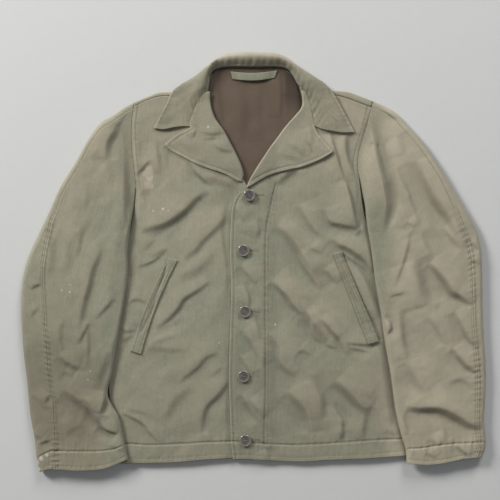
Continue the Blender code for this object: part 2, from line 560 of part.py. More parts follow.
class Sleeve:
    """A sleeve lying flat: a tube whose under piece wraps round the outer fold to the felled seam."""

    def __init__(self, side, outer, inner, armhole, cuff, seam, fold_rows):
        self.side = side
        self.outer = smooth_line(outer)
        self.inner = smooth_line(inner)
        self.armhole = armhole
        self.outer[0] = armhole[0]
        self.inner[0] = armhole[-1]
        self.cuff = smooth_line(cuff)
        self.seam = np.array(seam)
        self.fold_rows = fold_rows
        self.down = np.linspace(0, 1, SLEEVE_ROWS)
        dense = patch(self.armhole, self.cuff, self.outer, self.inner, np.linspace(0, 1, 61), self.down)
        self.lines = dense
        self.widths = np.linalg.norm(np.diff(dense, axis=1), axis=2).sum(axis=1)

    def point(self, row, distance, turn, above, wall):
        """A point on the tube at a distance from the outer fold; turn is 0 at a fold, 1 on the flat."""
        share = distance / self.widths[row]
        x, y = along(self.lines[row], [share])[0]
        t = self.down[row]
        body = ease(t / 0.16)
        from_inner = self.widths[row] - distance
        lifted = SLEEVE_OVER_BODY * ease((t - SIDE_HIDE_START) / (SIDE_HIDE_END - SIDE_HIDE_START))
        lift = lifted * ease(1 - (from_inner - SLEEVE_LIFT_FLAT) / SLEEVE_LIFT_WIDTH)
        fold_height = FRONT_TOP / 2 + (SLEEVE_TOP * 0.42 - FRONT_TOP / 2) * body
        middle = fold_height + (lift + SLEEVE_FOLD_HALF - fold_height) * lift / SLEEVE_OVER_BODY
        if not above:
            return np.array([x, y, middle - (middle - lift - wall) * turn])
        crown = np.sin(np.pi * np.clip(share, 0, 1))
        calm = body * ease(np.minimum(distance, from_inner) / 14)
        top = FRONT_TOP + (SLEEVE_TOP - FRONT_TOP - 2) * body + 3 * body * crown + lift * 0.35
        top += folds(np.array([x]), np.array([y]), self.fold_rows)[0] * calm
        top = max(top, middle + min(SLEEVE_FOLD_HALF, FRONT_TOP / 2 + body))
        return np.array([x, y, middle + (top - wall - middle) * turn])

    def ring(self, row, first, last, above, wall=0.0):
        """Points from one distance to another on the top or the bottom, on the outer face or the inner."""
        angles = np.radians(np.linspace(0, 90, ROUND_STEPS + 1))
        width = self.widths[row]
        bend = [(wall + (SLEEVE_EDGE_ROUND - wall) * (1 - np.cos(a)), np.sin(a)) for a in angles]
        stops = []
        if first < wall + 0.01:
            stops += bend[:-1]
            first = SLEEVE_EDGE_ROUND
        closing = last > width - 0.01
        end = width - SLEEVE_EDGE_ROUND if closing else last
        flat = FLAT_COLUMNS if closing else 1
        stops += [(d, 1.0) for d in np.linspace(first, end, flat + 1)]
        if closing:
            stops += [(width - d, turn) for d, turn in bend[-2::-1]]
        return np.array([self.point(row, d, turn, above, wall) for d, turn in stops])

    def build(self, collection):
        faces = {}
        for wall in (0.0, SLEEVE_CLOTH):
            tops = []
            unders = []
            for row, t in enumerate(self.down):
                width = self.widths[row]
                seam_at = np.interp(t, self.seam[:, 0], self.seam[:, 1]) * width
                top = self.ring(row, seam_at + SEAM_GAP / 2, width, True, wall)
                wrapped = self.ring(row, 0, seam_at - SEAM_GAP / 2, True, wall)
                below = self.ring(row, 0, width, False, wall)
                top[-1, 2] += SEAM_GAP / 2
                below[-1, 2] -= SEAM_GAP / 2
                tops.append(top)
                unders.append(np.vstack([wrapped[::-1], below[1:]]))
            faces[wall] = np.array(tops), np.array(unders)
        for k, part in enumerate(("top", "under")):
            sheet = (faces[0.0][k], faces[SLEEVE_CLOTH][k])
            cloth(f"sleeve_{self.side}_{part}", [sheet], "drill", collection)


def surface_of(piece):
    """A search tree of a piece's mesh, in metres."""
    bm = bmesh.new()
    bm.from_mesh(piece.data)
    tree = BVHTree.FromBMesh(bm)
    bm.free()
    return tree


def height_on(tree, x, y):
    """Height in mm of the piece below a point, seen from above."""
    hit = tree.ray_cast(Vector((x * MM, y * MM, 1.0)), Vector((0, 0, -1)))[0]
    return hit.z / MM if hit else 0.0


def welt(name, corners, panel, bow, collection):
    """A pocket welt: a narrow strip on its panel, bowed a little along its length."""
    tree = surface_of(bpy.data.objects[panel])
    ends = [np.array(corner, float) for corner in corners]
    down = np.linspace(0, 1, 15)
    across = np.linspace(0, 1, 4)
    outward = np.array([ends[0][1] - ends[3][1], ends[3][0] - ends[0][0]])
    outward = outward / np.linalg.norm(outward) * bow
    first = ends[0] + down[:, None] * (ends[3] - ends[0]) + np.sin(np.pi * down)[:, None] * outward
    last = ends[1] + down[:, None] * (ends[2] - ends[1]) + np.sin(np.pi * down)[:, None] * outward
    flat = first[:, None] * (1 - across[None, :, None]) + last[:, None] * across[None, :, None]
    seat = np.array([[height_on(tree, *point) for point in row] for row in flat])
    grid = with_height(flat, seat + LAYER_GAP + WELT_CLOTH)
    cloth(name, [(grid, straight_down(grid, WELT_CLOTH))], "drill", collection)


def buttons(collection):
    """Five dished buttons, each seated on the left front."""
    tree = surface_of(bpy.data.objects["front_left_panel"])
    outline = ((0.0, BUTTON_HEIGHT - BUTTON_DISH), (BUTTON_RADIUS - BUTTON_RIM - 1.2, BUTTON_HEIGHT - BUTTON_DISH),
               (BUTTON_RADIUS - BUTTON_RIM, BUTTON_HEIGHT - 0.1), (BUTTON_RADIUS - 0.7, BUTTON_HEIGHT),
               (BUTTON_RADIUS, BUTTON_HEIGHT - 0.8), (BUTTON_RADIUS - 0.2, 1.0),
               (BUTTON_RADIUS - 1.8, 0.0), (0.0, 0.0))
    for number, (x, y) in enumerate(BUTTON_CENTRES, start=1):
        mesh = bpy.data.meshes.new("button_profile")
        points = [(radius * MM, 0, height * MM) for radius, height in outline]
        mesh.from_pydata(points, [(k, k + 1) for k in range(len(points) - 1)], [])
        mesh.materials.append(material("button_resin"))
        piece = bpy.data.objects.new(f"button_{number}", mesh)
        collection.objects.link(piece)
        around = [height_on(tree, x + BUTTON_RADIUS * np.cos(a), y + BUTTON_RADIUS * np.sin(a))
                  for a in np.linspace(0, 2 * np.pi, 12, endpoint=False)]
        piece.location = (x * MM, y * MM, (max(around) + SEAM_GAP) * MM)
        turned = piece.modifiers.new("turned", "SCREW")
        turned.steps = BUTTON_STEPS
        turned.render_steps = BUTTON_STEPS
        turned.use_merge_vertices = True
        turned.merge_threshold = 0.00001
        turned.use_normal_calculate = True


def main():
    for piece in list(bpy.data.objects):
        bpy.data.objects.remove(piece)
    collection = bpy.data.collections.new("deck_jacket")
    bpy.context.scene.collection.children.link(collection)
    back(collection)
    lining(collection)
    fronts(collection)
    lapel("lapel_right", (GORGE_RIGHT, NOTCH_TO_TIP_RIGHT, LAPEL_HEM_RIGHT), ROLL_RIGHT, right_top, collection)
    lapel("lapel_left", (GORGE_LEFT, NOTCH_TO_TIP_LEFT, LAPEL_HEM_LEFT), ROLL_LEFT, left_top, collection)
    collar(collection)
    Sleeve("right", OUTER_RIGHT, INNER_RIGHT, side_line(ARMHOLE_RIGHT, SIDE_RIGHT)[:ARMHOLE_STEPS + 1]
           - (ARMHOLE_GAP, 0), CUFF_RIGHT, SEAM_RIGHT, FOLDS_SLEEVE_RIGHT).build(collection)
    Sleeve("left", OUTER_LEFT, INNER_LEFT, side_line(ARMHOLE_LEFT, SIDE_LEFT)[:ARMHOLE_STEPS + 1]
           + (ARMHOLE_GAP, 0), CUFF_LEFT, SEAM_LEFT, FOLDS_SLEEVE_LEFT).build(collection)
    welt("pocket_welt_right", WELT_RIGHT, "front_right_panel", -WELT_BOW, collection)
    welt("pocket_welt_left", WELT_LEFT, "front_left_panel", 0.0, collection)
    buttons(collection)


main()
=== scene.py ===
"""Looks of the deck jacket that lies flat on its back.

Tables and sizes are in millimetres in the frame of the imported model, and a vertex is placed at MM
times them. +X points to the wearer's left sleeve and +Y to the collar. "Right" and "left" in names
are the wearer's.
"""

import logging
from dataclasses import dataclass, field
from enum import Enum
from typing import Callable, Iterable, Iterator, Sequence

import bmesh
import bpy
import numpy as np
from mathutils import Matrix, Vector
from mathutils.bvhtree import BVHTree


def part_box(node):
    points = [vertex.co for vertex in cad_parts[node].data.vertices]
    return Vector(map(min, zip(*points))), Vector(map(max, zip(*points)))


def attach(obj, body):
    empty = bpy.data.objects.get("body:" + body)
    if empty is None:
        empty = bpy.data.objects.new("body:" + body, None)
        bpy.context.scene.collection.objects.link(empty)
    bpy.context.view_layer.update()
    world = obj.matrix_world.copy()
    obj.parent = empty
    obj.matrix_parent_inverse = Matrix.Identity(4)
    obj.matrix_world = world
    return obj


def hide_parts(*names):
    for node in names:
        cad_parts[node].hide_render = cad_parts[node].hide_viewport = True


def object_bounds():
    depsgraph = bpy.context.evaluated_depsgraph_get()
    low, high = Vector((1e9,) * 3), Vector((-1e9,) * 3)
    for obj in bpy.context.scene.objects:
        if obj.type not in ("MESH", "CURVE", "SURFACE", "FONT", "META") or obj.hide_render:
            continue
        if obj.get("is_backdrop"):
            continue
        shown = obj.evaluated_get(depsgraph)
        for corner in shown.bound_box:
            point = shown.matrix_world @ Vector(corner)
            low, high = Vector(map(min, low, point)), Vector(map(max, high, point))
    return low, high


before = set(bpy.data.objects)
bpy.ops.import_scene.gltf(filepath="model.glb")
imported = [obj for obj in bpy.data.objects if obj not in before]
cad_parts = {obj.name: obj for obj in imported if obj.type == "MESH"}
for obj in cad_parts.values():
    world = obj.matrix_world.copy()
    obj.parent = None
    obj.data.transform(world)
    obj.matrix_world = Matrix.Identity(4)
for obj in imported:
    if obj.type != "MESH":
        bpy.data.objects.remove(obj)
CAD_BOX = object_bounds()
LOG = logging.getLogger("deck_jacket")

MM = 0.001
Grid = np.ndarray
Surface = Callable[[Grid, Grid], Grid]

# Cloth and the stack of layers, as in the solids
CLOTH = 1.8
LINING = 1.4
SEAM_GAP = 0.3
LAYER_GAP = 0.6
FRONT_TOP = 5.5
OVERLAP_RISE = 2.5
NECK_RISE = 1.2
FALL_RISE = 2.4
LOWEST_FRONT_TOP = 4.4
HEM_RISE = 0.8

# Edge lines, each row x, y
ARMHOLE_RIGHT = ((-204, 273), (-204.5, 266), (-208, 234), (-207, 191), (-203, 157), (-200, 124))
SIDE_RIGHT = ((-200, 124), (-203, 90), (-208, 62), (-215, 36), (-219, 0), (-223, -45), (-231, -100),
              (-240, -160), (-247, -215), (-241, -262), (-234, -305), (-230, -343))
HEM_RIGHT = ((-230, -343), (-176, -342), (-133, -341), (-91, -337), (-37, -334), (12, -335))
SHOULDER_RIGHT = ((-204.5, 266), (-180, 277), (-160, 283), (-134, 284), (-110, 289), (-79, 295))
UNDERLAP_RIGHT = ((-7, 124), (6, 95), (12, 50), (12, -100), (12, -335))
ARMHOLE_LEFT = ((204, 275), (201, 264), (197, 247), (192, 228), (185, 206), (179, 184), (177, 165),
                (180, 145))
SIDE_LEFT = ((180, 145), (184.5, 108), (188.5, 84), (196, 58), (209, 10), (218, -40), (227, -90),
             (236, -140), (243, -190), (249, -240), (257, -285), (265, -329))
HEM_LEFT = ((-35, -336), (-6, -335.5), (28, -338), (79, -340), (130, -337), (198, -334), (265, -329))
SHOULDER_LEFT = ((79, 295), (110, 289), (133, 286), (160, 279), (181, 271), (201, 264))
OVERLAP_LEFT = ((-26, 117), (-35, 100), (-39, 59), (-40, 9), (-38, -38), (-40, -115), (-42, -195),
                (-40, -261), (-38, -309), (-35, -336))
SHOULDER_LINE_RIGHT = ((-204, 273), (-180, 283), (-160, 290), (-134, 291), (-110, 296), (-79, 302))
SHOULDER_LINE_LEFT = ((79, 302), (110, 297), (134, 293), (160, 291), (181, 284), (204, 275))
BACK_NECK = ((-79, 302), (-77, 314), (-68, 326), (-50, 331.5), (0, 331.7), (46, 331.5), (59, 326),
             (68, 314), (79, 302))
BACK_HEM_DROP = 2.0

# Lapels: gorge seam, notch to tip, lower edge, and the roll
GORGE_RIGHT = ((-80, 289), (-88, 281), (-92, 271), (-98, 257), (-104, 244), (-108, 229))
NOTCH_TO_TIP_RIGHT = ((-108, 229), (-125, 220.5), (-140, 210), (-152, 200))
LAPEL_HEM_RIGHT = ((-152, 200), (-140, 190), (-120, 179), (-100, 169), (-80, 161), (-50, 151),
                   (-27, 139))
ROLL_RIGHT = ((-74, 290), (-73, 270), (-66, 247), (-50, 224), (-41, 207), (-30, 186), (-22, 168),
              (-17, 150), (-20, 137))
GORGE_LEFT = ((88, 289), (94, 275), (98, 258), (101, 245), (104, 231))
NOTCH_TO_TIP_LEFT = ((104, 231), (110, 219), (118, 209), (126, 199), (136, 188))
LAPEL_HEM_LEFT = ((136, 188), (120, 178), (100, 169), (80, 162), (60, 158), (30, 150), (12, 141),
                  (-8, 129))
ROLL_LEFT = ((81, 291), (82, 266), (70, 249), (60, 238), (50, 226), (40, 212), (30, 199), (20, 184),
             (10, 169), (2, 156), (-6, 142), (-13, 127))
ROLL_AT_NOTCH = 0.34
ROLL_AT_TIP = 0.56

# Collar: seam, crest, brink, sole and outer edge at each station, from the right point round
COLLAR = (
    ((-106.8, 230.5, 10.1), (-120, 231, 11.2), (-136, 229, 11.4), (-153, 226, 11.2), (-170, 228, 10.2)),
    ((-100.2, 251, 10.3), (-114, 255, 12.4), (-129, 253, 12.2), (-145, 249, 11.5), (-160, 246, 10.4)),
    ((-90.4, 273, 10.8), (-102, 280, 15), (-118, 281, 13.8), (-133, 277, 12.6), (-149, 268, 11)),
    ((-79.5, 290, 11.4), (-88, 298, 17), (-103, 303, 15.6), (-121, 301, 13.6), (-137, 292, 10.8)),
    ((-76, 303, 11.2), (-84, 309, 18.5), (-99, 313, 14.5), (-113, 309.5, 10), (-124, 300, 4.6)),
    ((-74.5, 316, 9), (-79, 321, 19.5), (-90, 323, 13.5), (-97, 318.5, 6), (-107, 302, 0.4)),
    ((-66, 328, 7.6), (-69, 338, 20), (-75, 338, 12), (-78, 333, 2.5), (-86, 302, 0)),
    ((-46, 333, 10.6), (-46, 347, 20), (-48, 354, 11), (-49, 348, 1.2), (-55, 302, 0)),
    ((0, 332.8, 10.8), (0, 349, 20.4), (0, 356.5, 11), (0, 350, 1.2), (0, 303, 0)),
    ((43, 333, 10.6), (44, 346, 20), (47, 353, 11), (48, 347, 1.2), (53, 302, 0)),
    ((59, 328, 7.6), (65, 336, 20), (73, 336, 12), (77, 331, 2.5), (84, 302, 0)),
    ((68, 316, 9), (76, 322, 19.5), (88, 324, 13.5), (96, 319, 6), (106, 302, 0.4)),
    ((75, 303, 11.2), (83, 309, 18.5), (97, 315, 14.5), (110, 311, 10), (121, 300, 4.6)),
    ((86.4, 292, 11.4), (90, 299, 17), (103, 306, 15.6), (118, 303, 13.6), (133, 291, 10.8)),
    ((93.6, 274, 10.8), (103, 281, 15), (118, 281, 13.8), (133, 277, 12.6), (147, 268, 11)),
    ((99, 252, 10.3), (113, 255, 12.4), (129, 252, 12.2), (145, 247, 11.5), (160, 244, 10.4)),
    ((103.6, 232, 10.1), (118, 226, 11.2), (134, 223, 11.4), (150, 220.5, 11.2), (172, 221, 10.2)),
)

# Sleeves: outer fold, inner fold, cuff and the felled seam on top (share of length, share of width)
OUTER_RIGHT = ((-204, 273), (-220, 264), (-240, 250), (-260, 238), (-281, 210), (-303, 170),
               (-328, 130), (-346, 90), (-365, 50), (-383, 10), (-393, -30), (-396, -80),
               (-392, -150), (-386, -200), (-380, -260), (-373, -300), (-370, -330), (-365, -356.8))
INNER_RIGHT = ((-201, 124), (-205, 90), (-210, 55), (-214, 20), (-214, -20), (-219, -60),
               (-225, -95), (-233, -140), (-241, -190), (-248, -222), (-240, -243), (-229, -262),
               (-221, -300), (-213, -334))
CUFF_RIGHT = ((-365, -356.8), (-345, -351), (-300, -353), (-255, -350), (-213, -334))
SEAM_RIGHT = ((0, 0.070), (0.30, 0.057), (0.36, 0.07), (0.42, 0.12), (0.50, 0.20), (0.55, 0.25),
              (0.65, 0.29), (0.80, 0.31), (1, 0.20))
OUTER_LEFT = ((204, 275), (220, 268), (240, 257), (260, 236), (290, 201), (318, 160), (345, 115),
              (366, 80), (380, 53), (388, 20), (390, -40), (391, -100), (396, -190), (395, -230),
              (393, -270), (396, -310), (390, -331))
INNER_LEFT = ((181, 145), (189, 100), (192, 70), (200, 20), (208, -40), (216, -85), (223, -135),
              (233, -190), (241, -250), (250, -290), (258, -316), (260, -341))
CUFF_LEFT = ((390, -331), (360, -333), (330, -339), (300, -343), (260, -341))
SEAM_LEFT = ((0, 0.075), (0.26, 0.06), (0.33, 0.08), (0.40, 0.11), (0.55, 0.11), (0.80, 0.10),
             (1, 0.10))

# Folds, each a half width, a drop to the side away from the window, and the x and y of its points
FOLDS_FRONT_RIGHT = (
    (4.6, 5.4, -76, 122, -97, 106, -117, 86, -138, 70, -160, 60, -193, 52),
    (4, 2.2, -102, 92, -138, 64, -172, 46),
    (2, 1.6, -193, 122, -184, 102, -182, 92),
    (2.4, 3, -201, 148, -190, 158, -176, 174),
    (5.5, 2.4, -197, 207, -195, 182, -192, 160),
    (3.2, 2.6, -165, 204, -162, 182, -157, 152),
    (3.6, 1.4, -142, 202, -147, 180, -152, 150),
    (2.4, 3.6, -109, 172, -98, 152, -73, 130),
    (6, 2.4, -86, 143, -55, 136, -24, 120),
    (4.2, 3.4, -43, 78, -62, 58, -85, 35, -100, 17, -118, 6),
    (4, 1.4, -124, 61, -151, 39),
    (3, 1.2, -184, 21, -170, 38),
    (1.9, 2.2, -198, -9, -170, 2, -147, 23),
    (2, 1.1, -176, 7, -149, 23),
    (3, 2, -44, 112, -51, 75, -53, 45, -46, 0, -44, -62),
    (2.6, 1.5, -44, -150, -46, -240, -41, -333),
    (3.2, 4, -73, -33, -100, -52, -118, -64, -128, -80, -145, -98, -168, -115),
    (4, 1.4, -112, -93, -146, -110, -176, -126),
    (4, 1.2, -128, -124, -172, -139),
    (4, 1.3, -108, -152, -181, -148),
    (3, 2.6, -58, -154, -80, -163, -95, -180, -110, -192, -128, -206),
    (3.8, 4.2, -41, -203, -60, -228, -80, -250, -88, -292),
    (2.4, 1.3, -53, -178, -72, -197),
    (2.2, 3, -224, -257, -190, -275, -178, -290, -160, -309),
    (2.4, 1.8, -216, -73, -200, -64, -181, -71),
    (2.4, 1.8, -229, -111, -215, -118, -199, -115),
    (3, 2, -226, -136, -204, -125),
    (2.2, 1.1, -189, -94, -194, -111),
    (2, 1.3, -77, -287, -70, -305),
    (3, 1.3, -217, -250, -168, -262),
    (6.5, 2.4, -104, -212, -134, -240, -150, -276),
    (7, 2.2, -62, 16, -92, -12, -128, -28),
)
FOLDS_FRONT_LEFT = (
    (2, 3, 131, 220, 137, 200, 143, 180, 148, 163, 157, 139),
    (4, 3.6, 158, 218, 160, 190, 164, 172, 172, 150),
    (2.4, 4, 156, 142, 162, 125, 167, 108, 171, 88, 178, 57),
    (5, 2.2, 176, 137, 179, 100, 185, 62),
    (3.2, 3, 121, 91, 130, 68, 150, 62, 179, 57),
    (2, 1.2, 174, 44, 183, 56),
    (3.4, 3.6, 136, 40, 145, 29, 160, 22, 175, 12, 190, 0, 201, -17),
    (2.2, 2.2, 151, 18, 165, 5, 185, -8, 201, -21),
    (4.6, 2.8, 77, 97, 88, 75, 105, 50, 117, 40),
    (6.5, 3.8, 37, 60, 60, 40, 80, 10, 99, -22),
    (3, 1.3, 97, 25, 116, 14),
    (5, 2.4, 74, 158, 56, 146, 41, 131),
    (4.2, 3, 71, 10, 92, -18, 111, -47),
    (3.6, 2.1, 121, -11, 141, -37),
    (4, 4.2, 30, -33, 45, -48, 58, -62, 66, -75, 82, -90),
    (7.5, 3.4, 82, -84, 104, -112, 130, -142),
    (2.4, 3, 114, -96, 122, -105, 135, -120, 146, -132, 157, -159),
    (2.2, 2, 92, -84, 98, -98, 97, -115, 105, -130, 119, -139),
    (2, 1.4, 124, -140, 139, -148),
    (3, 1.2, 79, -149, 99, -159),
    (2, 1.7, 159, -138, 195, -141, 216, -136),
    (2, 1.5, 162, -146, 175, -149, 197, -153),
    (6, 4.4, 139, -204, 160, -225, 182, -248, 197, -256),
    (4.6, 2.4, 196, -244, 190, -270, 188, -301),
    (2.4, 2, 135, -241, 145, -258, 153, -272, 147, -306),
    (2.4, 1.3, 158, -284, 149, -304),
    (2.4, 1.3, 229, -284, 241, -298),
    (5.5, 3, 24, -124, 40, -145, 42, -170, 60, -188, 77, -191),
    (6, 3, 214, -120, 226, -190, 234, -250, 240, -300),
    (5, 3.2, 168, 6, 190, -25, 205, -62, 214, -97),
    (6, 3.6, 56, -222, 84, -252, 92, -290),
    (5, 2.6, 100, -196, 118, -232, 118, -268),
)
FOLDS_PLACKET = (
    (3, 1.5, -22, -6, 1, -37),
    (2.2, 1.5, -18, -36, -8, -55, -5, -77),
    (3, 1.5, -1, -88, 16, -127),
    (3, 1.9, -19, -116, 0, -145, 16, -177),
    (2.2, 1.4, -21, -161, -4, -192),
    (2.4, 1.9, -21, -226, -8, -248, 6, -272),
    (3, 1.5, -6, -233, 16, -264),
    (3, 1.2, 5, 72, 10, 55, 5, 40),
    (2, 1.1, 21, -317, 30, -336),
    (2.6, 1.1, -33, 96, -20, 70),
)
FOLDS_SLEEVE_RIGHT = (
    (5, 4.6, -226, 240, -238, 216, -246, 200, -247, 174),
    (1.8, 1.8, -203, 267, -217, 252, -231, 231),
    (5, 0.8, -266, 194, -270, 172, -262, 157),
    (5, 1, -250, 168, -242, 150, -246, 128),
    (5.5, 3.4, -221, 230, -216, 190, -216, 150, -216, 108, -215, 56),
    (4, 0.8, -284, 132, -281, 108, -286, 88),
    (5, 0.7, -263, 99, -250, 86),
    (3.6, 1.8, -289, 57, -294, 30, -300, 5),
    (6, 1.2, -319, 30, -312, 5, -317, -20),
    (4.2, 3.8, -254, 26, -264, 4, -272, -15, -277, -38, -284, -62, -290, -90, -295, -114),
    (2, 2, -235, -60, -252, -80, -268, -97),
    (2.2, 2.2, -278, -102, -288, -122, -297, -140),
    (3, 2, -281, -98, -279, -140, -280, -183),
    (1.8, 2, -378, -46, -369, -40, -359, -37),
    (2.2, 1.2, -378, -96, -372, -85, -364, -77),
    (3, 1.4, -324, -96, -326, -125, -323, -154),
    (4, 3.4, -330, -158, -316, -172, -296, -181),
    (3, 1.5, -320, -184, -309, -194),
    (6, 5, -322, -218, -296, -238, -278, -256, -262, -276),
    (3, 3.4, -286, -230, -268, -262, -252, -282, -231, -292),
    (2.2, 3.4, -263, -277, -248, -286, -230, -291),
    (2.4, 4.6, -248, -220, -252, -238, -257, -256),
    (2, 2, -344, -223, -353, -239),
    (3, 1.5, -373, -224, -358, -243, -346, -251),
    (2.4, 2.2, -376, -289, -361, -301),
    (2, 2, -364, -309, -352, -304, -343, -302),
    (4, 1.3, -288, -274, -317, -291),
    (2.4, 1.3, -243, -309, -221, -321),
    (6, 2.2, -352, 62, -340, 20, -346, -30),
    (6, 2, -244, -150, -256, -190, -262, -216),
)
FOLDS_SLEEVE_LEFT = (
    (5.5, 4.4, 203, 250, 207, 220, 214, 175, 224, 130, 229, 95, 222, 50),
    (7, 2.8, 210, 210, 223, 160, 233, 126, 237, 98, 231, 72),
    (2.6, -1.3, 214, 238, 228, 186, 243, 140, 248, 108, 241, 78, 226, 50),
    (1.7, 2, 197, 205, 204, 204, 208, 197),
    (5, 1.8, 243, 214, 252, 200, 257, 184),
    (1.8, 2, 217, 263, 230, 252, 244, 242),
    (5, 4.4, 276, 172, 290, 138, 302, 112, 316, 90, 330, 72, 342, 46),
    (3.6, 2.2, 322, 58, 340, 35, 352, 23),
    (3, 1.7, 242, 162, 252, 140, 262, 120, 268, 100, 276, 80, 281, 60),
    (2.6, 1.7, 266, 54, 262, 28, 256, 5, 248, -18, 239, -42),
    (2, 1.2, 261, 69, 271, 59),
    (4, 1.8, 283, 50, 295, 25, 304, 6),
    (3.6, 5.2, 298, -2, 312, -18, 325, -35, 336, -52, 350, -60, 370, -73),
    (8, 4, 272, 4, 284, -30, 297, -72),
    (2, 1.3, 229, -58, 242, -55, 256, -52),
    (2, 2.8, 221, -96, 230, -100, 233, -112, 227, -122),
    (4.6, 2.6, 248, -80, 252, -110, 255, -135, 263, -162),
    (3.6, 2.3, 295, -93, 310, -112, 323, -140),
    (2.8, 3.4, 341, -83, 352, -108, 362, -128, 378, -146),
    (3, 3.8, 337, -146, 350, -165, 362, -178, 378, -188),
    (4, 1.5, 330, -206, 350, -200, 374, -213),
    (4.8, 6, 258, -246, 280, -250, 300, -250, 318, -252, 345, -265, 365, -277, 388, -281),
    (3, 1.8, 249, -260, 258, -275, 263, -290),
    (3, 1.2, 300, -298, 312, -312),
    (3, 1.2, 320, -283, 329, -302),
    (2.2, 2, 344, -311, 366, -331),
    (2.4, 1.4, 294, -321, 306, -333),
    (6, 2.2, 258, -170, 276, -205, 290, -222),
    (2.2, 1.5, 366, 40, 374, 28, 384, 22),
    (2.2, 1.2, 364, 8, 376, 0, 386, -2),
)
FOLDS_LINING = (
    (3, 2.2, 46, 324, 49, 290, 47, 246),
    (4, 1.6, -62, 318, -58, 280, -50, 238),
    (6, 1.2, -22, 302, -14, 260, -18, 198),
    (5, 1, 14, 306, 10, 260, 16, 208),
)
FOLDS_LAPELS = (
    (2.4, 1.4, -92, 222, -70, 217, -50, 220),
    (2.2, 1.1, -86, 208, -72, 210, -58, 210),
    (2.6, 1.4, -71, 201, -52, 190, -33, 187),
    (2, 1.4, -104, 231, -99, 222, -103, 211),
    (2.2, 1.3, 97, 229, 100, 215, 101, 199),
    (3, 1.1, 58, 202, 74, 190, 93, 177),
    (3, 1, -129, 207, -118, 198, -102, 185),
    (4, 1.4, 40, 186, 58, 178, 82, 172),
)

# Stitched lines on the panels
HEM_LINE_RIGHT = ((-240, -309), (-213, -309), (-176, -311), (-125, -309), (-74, -306), (12, -304))
HEM_LINE_LEFT = ((-42, -304), (20, -309), (62, -311), (96, -310), (147, -307), (198, -303), (262, -300))
FACING_LINE = ((38, 134), (28, 92), (21, 51), (20, -30), (20, -132), (20, -234), (18, -293), (18, -310))
CUFF_LINE_RIGHT = ((-371, -334), (-355, -325), (-343, -320), (-300, -320), (-270, -320), (-250, -318),
                   (-235, -316), (-219, -309))
CUFF_LINE_LEFT = ((254, -316), (285, -314), (320, -309), (340, -307), (360, -306), (398, -305))

# Distances of rows of stitches from the edge or line that they follow
HEM_FOOT = 8
CUFF_FOOT = 7
ARMHOLE_STITCH = 7
FACING_TWIN = 5.5
OVERLAP_STITCH = 5.0
EDGE_STITCH = 5.5
FELLED_STITCH = 4.0

# Pocket welts: four corners, top outer end first and round, and how far each bows out
WELTS = {
    "pocket_welt_right": ((-145, 7), (-130, 3), (-192, -157), (-209, -151)),
    "pocket_welt_left": ((135, 16), (150, 19), (213, -135), (196, -140)),
}
WELT_BOWS = {"pocket_welt_right": -5, "pocket_welt_left": 0.0}
MOUTH_RIGHT = ((-147, 2), (-152, -20), (-165, -58), (-176, -90), (-190, -118))
MOUTH_LEFT = ((153, 10), (166, -20), (177, -45), (188, -70), (199, -92), (209, -112), (215, -131))
WELT_CLOTH = 1.5

# Hanger loop and the lining round it
LOOP_ENDS = ((-39, 325), (-36, 312), (36, 314), (41, 327))
LOOP_ROWS = (((-38, 323.5), (-35.5, 313.5)), ((-33, 322), (-31, 312.5)), ((38.5, 325.5), (34.5, 315.5)),
             ((33, 323.5), (30, 314.5)))
LOOP_DIP = 4.0
LOOP_SLACK = 2.2
LOOP_CLOTH = 1.2
LINING_TOP = ((-66.5, 325), (-50, 330), (0, 330.4), (46, 330), (57.5, 325))
LINING_SIDE_RIGHT = ((-66.5, 325), (-73, 313), (-75, 302), (-77, 288), (-86, 264), (-84, 235),
                     (-64, 200), (-46, 165), (-34, 118))
LINING_SIDE_LEFT = ((57.5, 325), (66, 314), (74.5, 302), (78, 288), (92, 264), (84, 232), (58, 198),
                    (36, 165), (20, 118))
LINING_FOOT = ((-34, 118), (-8, 112), (20, 118))

BUTTON_CENTRES = ((-7, 114), (-17, 20), (-14.5, -84), (-17, -194), (-14, -303))
SLIT_REACH = 25.0
SLIT_LIFT = 1.2
LAPEL_SLIT = ((86, 207), (93, 202), (98, 193), (100, 187))
COLLAR_SLIT = ((127, 252), (135, 246), (143, 239))


class Hold(Enum):
    """Side of a tube that a part of it lies on."""

    TOP = 1
    UNDER = 2


def smooth_line(rows: Sequence, per_span: int = 12) -> Grid:
    """A dense smooth line through the rows, which may be 2D or 3D.

    Args:
        rows: The points that the line runs through.
        per_span: Points between two rows.

    Returns:
        The points of the line.
    """
    knots = np.asarray(rows, float)
    if len(knots) == 2:
        return knots
    padded = np.vstack([2 * knots[0] - knots[1], knots, 2 * knots[-1] - knots[-2]])
    steps = np.linspace(0, 1, per_span, endpoint=False)[:, None]
    spans = []
    for k in range(len(knots) - 1):
        before, start, end, after = padded[k:k + 4]
        chord = np.linalg.norm(end - start)
        leave = (end - before) * chord / max(np.linalg.norm(end - before), 1e-9)
        arrive = (after - start) * chord / max(np.linalg.norm(after - start), 1e-9)
        spans.append((2 * steps**3 - 3 * steps**2 + 1) * start + (steps**3 - 2 * steps**2 + steps) * leave
                     + (3 * steps**2 - 2 * steps**3) * end + (steps**3 - steps**2) * arrive)
    return np.vstack(spans + [knots[-1:]])


def steps_of(points: Grid, axis: int) -> Grid:
    """Distances between neighbouring points along an axis of a grid or line."""
    return np.linalg.norm(np.diff(points, axis=axis), axis=-1)


def plan_of(grid: Grid) -> tuple[Grid, Grid]:
    """Plan positions x and y of points."""
    return grid[..., 0], grid[..., 1]


def shifted(rows: Sequence, x: float, y: float) -> Grid:
    """A smooth line through rows that are moved on the plan."""
    return smooth_line(np.array(rows) + (x, y))


